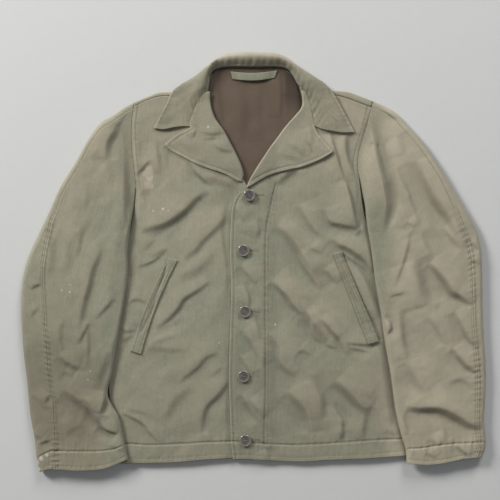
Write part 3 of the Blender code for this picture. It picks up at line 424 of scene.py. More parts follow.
def along(line: Grid, fractions: Grid) -> Grid:
    """Points at fractions of a line's length.

    Args:
        line: The line's points.
        fractions: Shares of its length.

    Returns:
        A point for each share.
    """
    lengths = np.concatenate([[0], np.cumsum(steps_of(line, 0))])
    at = np.asarray(fractions) * lengths[-1]
    return np.stack([np.interp(at, lengths, line[:, k]) for k in range(line.shape[1])], axis=-1)


def stretched(top: Grid, bottom: Grid, first: Grid, last: Grid, across: Grid, down: Grid) -> Grid:
    """Points of a sheet between four edges that have a point for each share.

    Args:
        top: Edge at the start of down, which runs across.
        bottom: Edge at the end of down.
        first: Edge at the start of across, which runs down.
        last: Edge at the end of across.
        across: Shares of the way across.
        down: Shares of the way down.

    Returns:
        A grid of points, a row for each share down.
    """
    u, v = across[None, :, None], down[:, None, None]
    corners = ((1 - u) * (1 - v) * top[0] + u * (1 - v) * top[-1]
               + (1 - u) * v * bottom[0] + u * v * bottom[-1])
    return (1 - v) * top[None] + v * bottom[None] + (1 - u) * first[:, None] + u * last[:, None] - corners


def patch(top: Grid, bottom: Grid, first: Grid, last: Grid, across: Grid, down: Grid) -> Grid:
    """Points of a sheet between four edges of any spacing, with the arguments of stretched."""
    return stretched(along(top, across), along(bottom, across), along(first, down), along(last, down),
                     across, down)


def ease(value: Grid) -> Grid:
    """A smooth step from 0 to 1."""
    held = np.clip(value, 0, 1)
    return held * held * (3 - 2 * held)


def bell(value: Grid, width: float) -> Grid:
    """A bump of height 1 round 0."""
    return np.exp(-(value / width)**2)


def share_of(value: Grid) -> Grid:
    """A value held between 0 and 1."""
    return np.clip(value, 0, 1)


def with_height(flat: Grid, height: Grid) -> Grid:
    """Plan points with their heights."""
    return np.concatenate([flat, height[..., None]], axis=-1)


def inset(rows: Sequence, distance: float) -> Grid:
    """A line beside another.

    Args:
        rows: The points that the other line runs through.
        distance: How far to its left the new one lies.

    Returns:
        The points of the new line.
    """
    line = smooth_line(rows)
    run = np.gradient(line, axis=0)
    run /= np.linalg.norm(run, axis=1, keepdims=True)
    return line + np.column_stack([-run[:, 1], run[:, 0]]) * distance


def normals(grid: Grid) -> Grid:
    """Unit normals of a grid of points, on the side of across times down."""
    cross = np.cross(np.gradient(grid, axis=1), np.gradient(grid, axis=0))
    return cross / np.maximum(np.linalg.norm(cross, axis=-1, keepdims=True), 1e-9)


def graded(coarse: float, fine: float, length: float, bands: Sequence[tuple[float, float]]) -> Grid:
    """Shares of a length in steps that are fine inside some bands and coarse elsewhere.

    Args:
        coarse: Usual step.
        fine: Step inside a band.
        length: The whole length.
        bands: Start and end of each fine band, as shares of the length.

    Returns:
        Rising shares from 0 to 1.
    """
    places = [0.0]
    while places[-1] < 1.0:
        here = places[-1]
        inside = any(low <= here <= high for low, high in bands)
        places.append(here + (fine if inside else coarse) / length)
    shares = np.array(places)
    return shares / shares[-1]


class Trace:
    """A line on the plan that tells how far points lie from it, and where along it."""

    def __init__(self, points: Grid) -> None:
        """Keep the line's points, in mm."""
        self.points = np.asarray(points, float)[:, :2]
        self.steps = np.diff(self.points, axis=0)
        self.lengths = np.maximum(np.linalg.norm(self.steps, axis=1), 1e-9)
        self.starts = np.concatenate([[0], np.cumsum(self.lengths)])

    def near(self, x: Grid, y: Grid, reach: float) -> tuple[Grid, Grid, Grid, Grid]:
        """Find the points close to the line.

        Args:
            x: Plan positions.
            y: Plan positions.
            reach: Points further than this may be left out.

        Returns:
            The mask of the close points, and for them the distance, the place along the line and
            the side, +1 to the right of the way it runs.
        """
        low = self.points.min(axis=0) - reach
        high = self.points.max(axis=0) + reach
        close = (x > low[0]) & (x < high[0]) & (y > low[1]) & (y < high[1])
        px, py = x[close], y[close]
        best = np.full(px.shape, 1e9)
        place = np.zeros(px.shape)
        side = np.ones(px.shape)
        for start, step, length, offset in zip(self.points, self.steps, self.lengths, self.starts):
            dx, dy = px - start[0], py - start[1]
            share = share_of((dx * step[0] + dy * step[1]) / length**2)
            distance = np.hypot(dx - share * step[0], dy - share * step[1])
            nearer = distance < best
            best = np.where(nearer, distance, best)
            place = np.where(nearer, offset + share * length, place)
            side = np.where(nearer, np.sign(dx * step[1] - dy * step[0]), side)
        return close, best, place, side


class Relief:
    """The folds of a panel, each a slope that drops away from the window and eases back on both sides."""

    AWAY = np.array([0.44, -0.90])
    DEEPEST = 6
    CORNER = 0.45
    ENDS = 0.6

    def __init__(self, rows: Sequence, strength: float = 1.0) -> None:
        """Trace the rows of a fold table, whose drops are multiplied by a strength."""
        self.folds = [(width, drop * strength, Trace(smooth_line(np.reshape(points, (-1, 2)), 5)))
                      for width, drop, *points in rows]

    def beside(self, x: Grid, y: Grid, per_width: float, more: float) -> Iterator[tuple]:
        """Go through the folds and the points beside each.

        Args:
            x: Plan positions.
            y: Plan positions.
            per_width: How far the points may lie from a fold, for each mm of its half width.
            more: What is added to that.

        Yields:
            The half width, the drop, the mask of the close points, and for them the distance, the
            distance with the lower side positive, and how full the fold is there, 0 at its ends.
        """
        for width, drop, trace in self.folds:
            close, distance, place, side = trace.near(x, y, per_width * width + more)
            run = trace.points[-1] - trace.points[0]
            facing = np.sign(run[1] * self.AWAY[0] - run[0] * self.AWAY[1])
            fade = np.sin(np.pi * share_of(place / trace.starts[-1]))**self.ENDS
            yield width, drop, close, distance, distance * side * facing, fade

    def height(self, x: Grid, y: Grid) -> Grid:
        """Height of all folds at plan points."""
        total = np.zeros_like(x)
        for width, drop, close, distance, signed, fade in self.beside(x, y, 11, 19.8):
            span = np.where(signed > 0, 3 * width + 6, 5 * width + 9)
            upper, lower = (np.hypot(signed / width + way, self.CORNER) for way in (1, -1))
            total[close] -= drop / 2 * fade * ((upper - lower) / 2) * bell(distance, span)
        return total

    def painted_fold_shade(self, x: Grid, y: Grid) -> Grid:
        """Painted shade held in the folds, from 0 to 1, most on the deepest."""
        total = np.zeros_like(x)
        for width, drop, close, distance, _, fade in self.beside(x, y, 4, 0):
            held = drop / self.DEEPEST * fade * bell(distance / width, 1.3)
            total[close] = np.maximum(total[close], held)
        return share_of(total)

    def crest(self, x: Grid, y: Grid) -> Grid:
        """Painted highlight, together with paling from wear, along the upper edge of each fold on its side
        towards the window, from 0 to 1, most on the deepest.
        """
        total = np.zeros_like(x)
        for width, drop, close, _, signed, fade in self.beside(x, y, 3, 4):
            line = bell(signed + 1.1 * width, max(0.4 * width, 1.6))
            total[close] = np.maximum(total[close], drop / self.DEEPEST * fade * line)
        return share_of(total)


def held_above(value: Grid, floor: Grid) -> Grid:
    """A height that eases out above a floor."""
    soft = 0.7
    return floor + soft * np.logaddexp(0, (value - floor) / soft)


class Crumple:
    """Small uneven wrinkles from a seeded lattice of heights."""

    SIZE = 96

    def __init__(self, seed: int) -> None:
        """Draw the lattice."""
        self.lattice = np.random.default_rng(seed).uniform(-1, 1, (self.SIZE, self.SIZE))

    def layer(self, x: Grid, y: Grid, size: float) -> Grid:
        """One layer of smooth noise from -1 to 1, with cells of the given size in mm."""
        gx, gy = x / size + 40.3, y / size + 37.7
        ix, iy = np.floor(gx).astype(int), np.floor(gy).astype(int)
        fx, fy = ease(gx - ix), ease(gy - iy)
        rows = [[self.lattice[(iy + b) % self.SIZE, (ix + a) % self.SIZE] for a in (0, 1)] for b in (0, 1)]
        low, high = (start * (1 - fx) + end * fx for start, end in rows)
        return low * (1 - fy) + high * fy

    def height(self, x: Grid, y: Grid, lean: float, depth: float) -> Grid:
        """Wrinkles that run mostly one way.

        Args:
            x: Plan positions.
            y: Plan positions.
            lean: The way they run, in radians from +X.
            depth: Their height in mm.

        Returns:
            Heights in mm.
        """
        run = x * np.cos(lean) + y * np.sin(lean)
        over = -x * np.sin(lean) + y * np.cos(lean)
        bend = 9 * self.layer(x + 300, y, 70)
        broad = self.layer(run * 0.45, over + bend, 34)
        middle = self.layer(run * 0.55 + 90, over + bend, 17)
        fine = self.layer(x - 200, y + 50, 8)
        ridged = 0.5 - np.abs(self.layer(run * 0.4 - 50, over + bend + 500, 26))
        return depth * (0.75 * broad + 0.45 * middle + 0.16 * fine + 0.5 * ridged)


@dataclass
class Seam:
    """A sewn line: a groove under the thread, with puckers that the thread pulls in beside it."""

    line: Grid
    groove: float = 0.7
    groove_width: float = 1.3
    pucker: float = 0.35
    reach: float = 6.0
    wave: float = 9.0
    seed: int = 1
    shade: float = 1.2

    def height(self, x: Grid, y: Grid) -> Grid:
        """Height that the seam adds at plan points."""
        total = np.zeros_like(x)
        close, distance, place, side = Trace(self.line).near(x, y, 4 * self.reach)
        phases = np.random.default_rng(self.seed).uniform(0, 2 * np.pi, 8)
        wobble = np.zeros_like(place)
        for k, (share, part) in enumerate(((0.61, 0.7), (1.0, 1.0), (1.73, 0.55))):
            swell = 0.6 + 0.4 * np.sin(place / (self.wave * 4.1 * share) + phases[k + 4])
            turn = 2 * np.pi * place / (self.wave * share)
            wobble += part * swell * np.sin(turn + phases[k] + 0.5 * side)
        total[close] += (self.pucker * wobble * np.exp(-distance / self.reach)
                         - self.groove * bell(distance, self.groove_width))
        return total

    def closeness(self, x: Grid, y: Grid, reach: float) -> Grid:
        """How near plan points are, 1 on the line and falling to 0 over a reach in mm."""
        total = np.zeros_like(x)
        close, distance, _, _ = Trace(self.line).near(x, y, 4 * reach)
        total[close] = np.exp(-(distance / reach))
        return total


def fall_rise(x: Grid, y: Grid) -> Grid:
    """Lift of the body over the back of the collar, which lies under it."""
    return FALL_RISE * ease((y - 270) / 20) * ease((158 - np.abs(x)) / 28)


def hem_height(x: Grid, y: Grid, line: Sequence) -> Grid:
    """Extra thickness of a turned hem below its stitch line."""
    rows = np.asarray(sorted(line), float)
    return HEM_RISE * ease((np.interp(x, rows[:, 0], rows[:, 1]) - y) / 2.5)


def neck_rise(x: Grid, y: Grid) -> Grid:
    """Lift of the fronts near the neck, where the lining lies under them."""
    return NECK_RISE * ease((y - 96) / 30) * ease((135 - np.abs(x + 5)) / 30)


def front_base(x: Grid, y: Grid, hem_line: Sequence) -> Grid:
    """Height of a front's outer face without folds."""
    return FRONT_TOP + neck_rise(x, y) + hem_height(x, y, hem_line) + fall_rise(x, y)


def slit_lines() -> list[Grid]:
    """The buttonholes, which start below the buttons and show to their left side."""
    return [smooth_line(((x + 2, y + SLIT_LIFT), (x + 12, y), (x + SLIT_REACH, y - 0.4)))
            for x, y in BUTTON_CENTRES]


def left_lap(x: Grid) -> Grid:
    """Rise of the left front where it lies on the right one."""
    return OVERLAP_RISE * ease((44 - x) / 26)


def shader_maths(operation: str) -> Callable[..., "Value"]:
    """A method of Value that adds a Math node with an operation."""
    return lambda value, *others: value.math(operation, *others)


class Value:
    """A number in a node tree, with the arithmetic that the finishes use."""

    def __init__(self, nodes: "Nodes", socket: bpy.types.NodeSocket) -> None:
        """Wrap an output socket."""
        self.nodes = nodes
        self.socket = socket

    def math(self, operation: str, *others: "Value | float") -> "Value":
        """A Math node on this value and others."""
        sockets = dict(enumerate((self, *others)))
        made = self.nodes.make("ShaderNodeMath", {"operation": operation}, sockets)
        return Value(self.nodes, made.outputs[0])

    def __rsub__(self, other: float) -> "Value":
        """Difference from a plain number."""
        return self * -1.0 + other

    __add__ = __radd__ = shader_maths("ADD")
    __mul__ = __rmul__ = shader_maths("MULTIPLY")
    __sub__ = shader_maths("SUBTRACT")
    __truediv__ = shader_maths("DIVIDE")
    sine = shader_maths("SINE")

    def clamped(self) -> "Value":
        """The value held between 0 and 1."""
        return self.math("MAXIMUM", 0.0).math("MINIMUM", 1.0)

    def between(self, low: float, high: float) -> "Value":
        """A smooth step from 0 at low to 1 at high."""
        held = ((self - low) / (high - low)).clamped()
        return held * held * (3.0 - held * 2.0)


class Nodes:
    """A material's node tree."""

    def __init__(self, name: str) -> None:
        """Start a material with a Principled shader."""
        self.material = bpy.data.materials.new(name)
        self.material.use_nodes = True
        self.tree = self.material.node_tree
        self.shader = self.tree.nodes["Principled BSDF"]

    def make(self, kind: str, settings: dict, values: dict) -> bpy.types.Node:
        """Add a node.

        Args:
            kind: The node's type.
            settings: Properties that are set first.
            values: Socket names or numbers, each with a number, a colour, a Value or a socket.

        Returns:
            The node.
        """
        node = self.tree.nodes.new(kind)
        for key, setting in settings.items():
            setattr(node, key, setting)
        for key, value in values.items():
            self.feed(node.inputs[key], value)
        return node

    def feed(self, socket: bpy.types.NodeSocket, value: object) -> None:
        """Link or set a socket, where a colour of three parts gets full alpha."""
        if isinstance(value, Value):
            value = value.socket
        if isinstance(value, bpy.types.NodeSocket):
            self.tree.links.new(value, socket)
        elif socket.type == "RGBA":
            socket.default_value = (*value, 1.0)
        else:
            socket.default_value = value

    def place(self) -> bpy.types.NodeSocket:
        """Object coordinates."""
        return self.make("ShaderNodeTexCoord", {}, {}).outputs["Object"]

    def weave_place(self) -> tuple[Value, Value]:
        """The two directions of the cloth's own map, in metres."""
        uv = self.make("ShaderNodeUVMap", {"uv_map": "weave"}, {}).outputs["UV"]
        split = self.make("ShaderNodeSeparateXYZ", {}, {0: uv})
        return Value(self, split.outputs[0]), Value(self, split.outputs[1])

    def mark(self, name: str) -> Value:
        """A value painted on the mesh."""
        node = self.make("ShaderNodeAttribute", {"attribute_name": name}, {})
        return Value(self, node.outputs["Fac"])

    def noise(self, at: bpy.types.NodeSocket, size_mm: float, detail: float = 2.0) -> Value:
        """Noise from 0 to 1 whose blots are about a size in mm."""
        values = {"Vector": at, "Scale": 1 / (size_mm * MM), "Detail": detail}
        return Value(self, self.make("ShaderNodeTexNoise", {}, values).outputs["Fac"])

    def mix(self, factor: "Value | float", first: object, second: object) -> bpy.types.NodeSocket:
        """A colour between two colours."""
        node = self.make("ShaderNodeMix", {"data_type": "RGBA"}, {"Factor": factor})
        colours = [socket for socket in node.inputs if socket.type == "RGBA"]
        for socket, colour in zip(colours, (first, second)):
            self.feed(socket, colour)
        return next(socket for socket in node.outputs if socket.type == "RGBA")

    def spot(self, at: bpy.types.NodeSocket, centre: Sequence[float], radius: float, ragged: Value) -> Value:
        """A ragged spot on the plan, 1 inside and 0 outside.

        Args:
            at: Object coordinates.
            centre: Its place in mm.
            radius: Its size in mm.
            ragged: Noise that breaks its edge.

        Returns:
            The mask.
        """
        flat = self.make("ShaderNodeVectorMath", {"operation": "MULTIPLY"}, {0: at, 1: (1, 1, 0)})
        point = (centre[0] * MM, centre[1] * MM, 0)
        node = self.make("ShaderNodeVectorMath", {"operation": "DISTANCE"}, {0: flat.outputs[0], 1: point})
        away = Value(self, node.outputs["Value"]) / (radius * MM)
        return 1.0 - (away + (ragged - 0.5) * 1.4).between(0.55, 1.1)

    def bump(self, height: Value, depth_mm: float, strength: float,
             below: bpy.types.NodeSocket | None = None) -> bpy.types.NodeSocket:
        """A bump for the shader's normal."""
        values = {"Strength": strength, "Distance": depth_mm * MM, "Height": height}
        if below is not None:
            values["Normal"] = below
        return self.make("ShaderNodeBump", {}, values).outputs["Normal"]

    def finish(self, **sockets: object) -> bpy.types.Material:
        """Feed the shader's sockets, named with underscores for spaces, and give the material."""
        for key, value in sockets.items():
            self.feed(self.shader.inputs[key.replace("_", " ")], value)
        return self.material


@dataclass(frozen=True)
class Drill:
    """Worn cotton drill, greener where it lay sheltered and paler and browner where it rubbed, with painted
    light on its crests and brighter regions and painted shade in its hollows.
    """

    name: str = "cotton_drill"
    green: tuple = (0.206, 0.214, 0.156)
    tan: tuple = (0.262, 0.238, 0.172)
    # Pale colour of wear and of painted light, and dark colour of soiling and of painted shade.
    pale_wear_and_light: tuple = (0.375, 0.335, 0.250)
    dark_soil_and_shade: tuple = (0.128, 0.114, 0.078)
    pink: tuple = (0.430, 0.370, 0.300)
    white: tuple = (0.560, 0.530, 0.450)
    roughness: float = 0.84
    sheen: float = 0.12
    wale_mm: float = 0.9
    weave_depth_mm: float = 0.14
    patches: tuple = ((-179, 154, 12), (-178, 133, 10), (-176, 143, 6))
    faint_patches: tuple = ((-182, -190, 34), (-150, -120, 26))
    specks: tuple = ((-171, 88, 1.7), (-154, 91, 2.4), (-145, 88, 1.5), (-310, -38, 1.6), (-311, -50, 2.0),
                     (-325, -47, 1.6), (37, -106, 2.2), (-59, -137, 1.7), (-77, 230, 2.2), (148, 62, 1.4),
                     (-369, -340, 5.0), (-360, -333, 4.2), (-350, -327, 3.0), (-365, -351, 3.4),
                     (-280, -198, 1.6), (-276, -184, 1.3))

    def material(self) -> bpy.types.Material:
        """The cloth's material."""
        nodes = Nodes(self.name)
        at = nodes.place()
        u, v = nodes.weave_place()
        cloud = nodes.noise(at, 90, 3.0)
        blot = nodes.noise(at, 22, 4.0)
        slub = nodes.noise(at, 3.2, 3.0)
        tone = (nodes.mark("tone") + (cloud - 0.5) * 1.1 + (blot - 0.5) * 0.5).clamped()
        colour = nodes.mix(tone, self.green, self.tan)
        warp = nodes.make("ShaderNodeCombineXYZ", {}, {0: u * 7.0, 1: v, 2: 0.0}).outputs[0]
        streak = nodes.noise(warp, 26, 4.0)
        colour = nodes.mix(((streak - 0.5) * 0.6 + (slub - 0.5) * 0.6).clamped(), colour, self.pale_wear_and_light)
        colour = nodes.mix(((0.5 - streak) * 0.7 + (0.5 - slub) * 0.6).clamped(), colour, self.dark_soil_and_shade)
        # Wear mark: real wear, with painted light on the fold crests and the brighter regions.
        wear_and_painted_light = (nodes.mark("wear_and_painted_light") * (0.45 + blot * 1.1) + (slub - 0.62) * 0.25).clamped()
        colour = nodes.mix(wear_and_painted_light * 0.75, colour, self.pale_wear_and_light)
        # Soil mark: mostly painted shade in hollows, folds, grooves and under the sleeves, with some real
        # soiling.
        soil_and_painted_shade = (nodes.mark("soil_and_painted_shade") * (0.5 + blot)).clamped()
        colour = nodes.mix(soil_and_painted_shade * 0.6, colour, self.dark_soil_and_shade)
        ragged = nodes.noise(at, 5, 3.0)
        colour = self.stained(nodes, at, ragged, colour)
        wale = ((u + v * 0.6) * (2 * np.pi / (self.wale_mm * MM))).sine() * 0.5 + 0.5
        pick = ((u * 0.6 - v) * (2 * np.pi / (self.wale_mm * 0.7 * MM))).sine() * 0.5 + 0.5
        thread = wale * 0.75 + pick * 0.25
        colour = nodes.mix((1.0 - thread) * 0.16, colour, self.dark_soil_and_shade)
        normal = nodes.bump(slub, 0.35, 0.5)
        normal = nodes.bump(thread, self.weave_depth_mm, 0.7, normal)
        rough = wear_and_painted_light * -0.06 + (self.roughness + 0.02) + (blot - 0.5) * 0.1
        return nodes.finish(Base_Color=colour, Roughness=rough, Normal=normal, Sheen_Weight=self.sheen,
                            Sheen_Roughness=0.5, Specular_IOR_Level=0.25)

    def stained(self, nodes: Nodes, at: bpy.types.NodeSocket, ragged: Value,
                colour: bpy.types.NodeSocket) -> bpy.types.NodeSocket:
        """Lay the rubbed patches and the specks over a colour.

        Args:
            nodes: The material's nodes.
            at: Object coordinates.
            ragged: Noise that breaks the edges of the patches.
            colour: The colour below.

        Returns:
            The colour with the spots.
        """
        broken = nodes.noise(at, 1.8, 3.0)
        layers = ((self.faint_patches, ragged, 0.16, self.pink), (self.patches, ragged, 0.55, self.pink),
                  (self.specks, broken, 0.6, self.white))
        for spots, noise, share, paint in layers:
            for *centre, radius in spots:
                colour = nodes.mix(nodes.spot(at, centre, radius, noise) * share, colour, paint)
        return colour


@dataclass(frozen=True)
class Wool:
    """Brown wool cloth with a short nap."""

    name: str = "wool_lining"
    deep: tuple = (0.070, 0.049, 0.034)
    light: tuple = (0.130, 0.094, 0.067)
    # Colour of the painted shade in the lining's hollow, along its sides and in its folds.
    hollow_shade: tuple = (0.026, 0.017, 0.012)
    roughness: float = 0.95
    sheen: float = 0.18

    def material(self) -> bpy.types.Material:
        """The lining's material."""
        nodes = Nodes(self.name)
        at = nodes.place()
        nap = nodes.noise(at, 1.1, 4.0)
        cloud = nodes.noise(at, 30, 3.0)
        tone = (nap * 0.7 + cloud * 0.6 - 0.15).clamped()
        colour = nodes.mix(tone, self.deep, self.light)
        # Painted shade from the soil mark.
        colour = nodes.mix((nodes.mark("soil_and_painted_shade") * 0.6).clamped(), colour, self.hollow_shade)
        normal = nodes.bump(nap, 0.5, 0.7)
        return nodes.finish(Base_Color=colour, Roughness=self.roughness, Normal=normal,
                            Sheen_Weight=self.sheen, Sheen_Roughness=0.6, Specular_IOR_Level=0.15)


@dataclass(frozen=True)
class Resin:
    """Dark, dished plastic with paler dull blots and scratches, and a paler rim that is a painted highlight.
    """

    name: str = "button_resin"
    dark: tuple = (0.048, 0.041, 0.037)
    dull_and_highlight: tuple = (0.185, 0.166, 0.148)
    roughness: float = 0.17

    def material(self) -> bpy.types.Material:
        """The buttons' material."""
        nodes = Nodes(self.name)
        at = nodes.place()
        cloud = nodes.noise(at, 5, 4.0)
        scratch = nodes.noise(at, 0.9, 2.0)
        # The wear mark on the rim paints a highlight there.
        tone = (cloud * 0.8 + nodes.mark("wear_and_painted_light") * 0.7 - 0.1).clamped()
        colour = nodes.mix(tone, self.dark, self.dull_and_highlight)
        rough = cloud * 0.25 + scratch * 0.12 + (self.roughness - 0.16)
        normal = nodes.bump(scratch, 0.05, 0.5)
        return nodes.finish(Base_Color=colour, Roughness=rough, Normal=normal, Specular_IOR_Level=0.6,
                            Coat_Weight=0.9, Coat_Roughness=0.10)


@dataclass(frozen=True)
class Yarn:
    """Sewing thread, twisted and a little faded."""

    name: str = "sewing_thread"
    colour: tuple = (0.235, 0.225, 0.165)
    dark: tuple = (0.120, 0.112, 0.080)
    roughness: float = 0.75

    def material(self) -> bpy.types.Material:
        """The thread's material."""
        nodes = Nodes(self.name)
        at = nodes.place()
        fade = nodes.noise(at, 12, 3.0)
        twist = nodes.noise(at, 0.5, 1.0)
        colour = nodes.mix((fade * 0.8 + twist * 0.3).clamped(), self.dark, self.colour)
        normal = nodes.bump(twist, 0.08, 0.6)
        return nodes.finish(Base_Color=colour, Roughness=self.roughness, Normal=normal)


@dataclass(frozen=True)
class Paper:
    """Plain pale floor."""

    name: str = "pale_floor"
    colour: tuple = (0.52, 0.52, 0.51)

    def material(self) -> bpy.types.Material:
        """The floor's material."""
        nodes = Nodes(self.name)
        grain = nodes.noise(nodes.place(), 14, 3.0)
        lower = tuple(part * 0.96 for part in self.colour)
        colour = nodes.mix(grain, lower, self.colour)
        return nodes.finish(Base_Color=colour, Roughness=0.9)


@dataclass
class Sheet:
    """One grid of cloth: its outer and inner faces, its own map in mm, and what is painted on it."""

    outer: Grid
    inner: Grid
    map: Grid
    marks: dict[str, Grid | float] = field(default_factory=dict)


# Painted marks: tone, wear together with painted light, and soil together with painted shade.
MARKS = ("tone", "wear_and_painted_light", "soil_and_painted_shade")


def own_map(grid: Grid) -> Grid:
    """The cloth's own map: distance across and down its middle row and column, in mm."""
    rows, columns = grid.shape[:2]
    u = np.concatenate([np.zeros((rows, 1)), np.cumsum(steps_of(grid, 1), axis=1)], axis=1)
    v = np.concatenate([np.zeros((1, columns)), np.cumsum(steps_of(grid, 0), axis=0)], axis=0)
    return np.stack([u - u[:, columns // 2:columns // 2 + 1], v - v[rows // 2:rows // 2 + 1]], axis=-1)


def area_of(grid: Grid) -> float:
    """Area of a grid of points, in square mm."""
    one = grid[1:, 1:] - grid[:-1, :-1]
    two = grid[1:, :-1] - grid[:-1, 1:]
    return float(np.linalg.norm(np.cross(one, two), axis=-1).sum() / 2)


def declare(piece: bpy.types.Object, grid: Grid, rests_on: Sequence[str],
            edge: slice = slice(None)) -> None:
    """Say what size a sheet was cut to.

    Args:
        piece: The sheet.
        grid: Points of its shown face, in mm.
        rests_on: The pieces below it; not used.
        edge: The columns of which the longest gives the sheet's length.
    """
    width = steps_of(grid, 1).sum(axis=1).max() * MM
    length = steps_of(grid[:, edge], 0).sum(axis=0).max() * MM
    area = area_of(grid) * MM * MM
    LOG.info("%s cut: %.3f x %.3f m, %.4f m2", piece.name, width, length, area)


def mesh_of(bm: bmesh.types.BMesh, name: str) -> bpy.types.Mesh:
    """A mesh of a finished bmesh, which is freed."""
    mesh = bpy.data.meshes.new(name)
    bm.to_mesh(mesh)
    bm.free()
    return mesh


class Maker:
    """Makes the jacket's objects, dresses them and places them in the frame."""

    def __init__(self) -> None:
        """Start a collection and an empty shelf of materials."""
        self.collection = bpy.data.collections.new("dressed_jacket")
        bpy.context.scene.collection.children.link(self.collection)
        self.shelf: dict[str, bpy.types.Material] = {}

    def finish_of(self, finish: object) -> bpy.types.Material:
        """The material of a finish, made once."""
        if finish.name not in self.shelf:
            self.shelf[finish.name] = finish.material()
        return self.shelf[finish.name]

    def add(self, name: str, mesh: bpy.types.Mesh, finish: object, slot: str,
            nodes: Iterable[str] = ()) -> bpy.types.Object:
        """Place a mesh as a piece of the jacket.

        Args:
            name: The piece's name.
            mesh: Its mesh, in metres.
            finish: Its finish.
            slot: The record's material slot; not used.
            nodes: The solids that it stands for.

        Returns:
            The piece.
        """
        mesh.materials.append(self.finish_of(finish))
        mesh.shade_smooth()
        piece = bpy.data.objects.new(name, mesh)
        self.collection.objects.link(piece)
        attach(piece, "root")
        if nodes:
            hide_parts(*nodes)
        LOG.info("%s: %d faces", name, len(mesh.polygons))
        return piece

    def lay(self, name: str, sheets: Sequence[Sheet], finish: object, slot: str, rests_on: Sequence[str],
            edge: slice = slice(None)) -> bpy.types.Object:
        """Make a sheet of cloth that stands for a solid, and declare its cut.

        Args:
            name: The solid's name.
            sheets: The cloth's grids, of which the first is measured.
            finish: Its finish.
            slot: The record's material slot.
            rests_on: The pieces below it.
            edge: The columns of which the longest gives the sheet's length.

        Returns:
            The piece.
        """
        piece = self.add(f"{name}_cloth", self.wall(name, sheets), finish, slot, [name])
        declare(piece, sheets[0].outer, rests_on, edge)
        return piece

    def wall(self, name: str, sheets: Sequence[Sheet]) -> bpy.types.Mesh:
        """A closed wall from sheets that share edge points.

        Args:
            name: The mesh's name.
            sheets: The grids that it is made of.

        Returns:
            The mesh, in metres.
        """
        bm = bmesh.new()
        number = bm.verts.layers.int.new("point")
        start = 0
        for sheet in sheets:
            rows, columns = sheet.outer.shape[:2]
            made = bmesh.ops.create_grid(bm, x_segments=columns - 1, y_segments=rows - 1, size=1)["verts"]
            for vert in made:
                column = round((vert.co.x + 1) / 2 * (columns - 1))
                row = round((vert.co.y + 1) / 2 * (rows - 1))
                vert[number] = start + row * columns + column
                vert.co = Vector(sheet.outer[row, column] * MM)
            start += rows * columns
        bmesh.ops.remove_doubles(bm, verts=bm.verts[:], dist=1e-6)
        grown = bmesh.ops.extrude_face_region(bm, geom=bm.faces[:])["geom"]
        inner = np.vstack([sheet.inner.reshape(-1, 3) for sheet in sheets]) * MM
        for vert in (item for item in grown if isinstance(item, bmesh.types.BMVert)):
            vert.co = Vector(inner[vert[number]])
        bmesh.ops.recalc_face_normals(bm, faces=bm.faces[:])
        mesh = mesh_of(bm, name)
        self.paint(mesh, sheets)
        return mesh

    @staticmethod
    def paint(mesh: bpy.types.Mesh, sheets: Sequence[Sheet]) -> None:
        """Give a wall its own map and its marks."""
        point = np.empty(len(mesh.vertices), np.int32)
        mesh.attributes["point"].data.foreach_get("value", point)
        for name in MARKS:
            grids = [np.broadcast_to(sheet.marks.get(name, 0.0), sheet.outer.shape[:2]) for sheet in sheets]
            values = np.concatenate([grid.ravel() for grid in grids])
            mark = mesh.attributes.new(name, "FLOAT", "POINT")
            mark.data.foreach_set("value", values[point].astype(np.float32))
        corners = np.empty(len(mesh.loops), np.int32)
        mesh.loops.foreach_get("vertex_index", corners)
        flat = np.vstack([sheet.map.reshape(-1, 2) for sheet in sheets]) * MM
        weave = mesh.uv_layers.new(name="weave")
        weave.data.foreach_set("uv", flat[point[corners]].astype(np.float32).ravel())
        mesh.attributes.remove(mesh.attributes["point"])


def tree_of(pieces: Iterable[bpy.types.Object]) -> list[BVHTree]:
    """Search trees of pieces' meshes."""
    trees = []
    for piece in pieces:
        bm = bmesh.new()
        bm.from_mesh(piece.data)
        trees.append(BVHTree.FromBMesh(bm))
        bm.free()
    return trees


@dataclass
class Ground:
    """The top of what has been made so far, on which later pieces lie."""

    trees: list[BVHTree]

    def height(self, x: float, y: float) -> float:
        """Height in mm of the highest face at a plan point."""
        above, downward = Vector((x * MM, y * MM, 1.0)), Vector((0, 0, -1))
        hits = [tree.ray_cast(above, downward)[0] for tree in self.trees]
        return max([hit.z / MM for hit in hits if hit], default=0.0)

    def heights(self, flat: Grid) -> Grid:
        """Heights at a grid of plan points."""
        found = [self.height(x, y) for x, y in flat.reshape(-1, 2)]
        return np.array(found).reshape(flat.shape[:-1])


def tone_at(x: Grid, y: Grid) -> Grid:
    """How far the cloth has turned from green to tan: most on cuffs, collar and upper chest."""
    cuffs = 0.55 * ease((-150 - y) / 160) * ease((np.abs(x) - 235) / 40)
    return 0.30 + 0.26 * ease((y - 60) / 160) + cuffs + 0.22 * ease((np.abs(x) - 230) / 60)


def painted_light_at(x: Grid, y: Grid) -> Grid:
    """Broad painted light that pales the cloth: most on the left sleeve and the right shoulder."""
    sleeve = 0.75 * ease((x - 205) / 40)
    shoulder = 0.18 * ease((-215 - x) / 40) * ease((y + 60) / 120)
    return sleeve + shoulder + 0.36 * ease((y - 130) / 60) * ease((x - 20) / 40)


def painted_lower_shade_at(x: Grid, y: Grid) -> Grid:
    """Broad painted shade, darker towards the bottom: most on the lower half of the right sleeve."""
    sleeve = 0.85 * ease((-60 - y) / 130) * ease((-235 - x) / 40) * (1 - 0.45 * ease((-285 - y) / 30))
    middle = 0.22 * ease((-90 - y) / 120) * ease((235 - np.abs(x)) / 30)
    return sleeve + middle


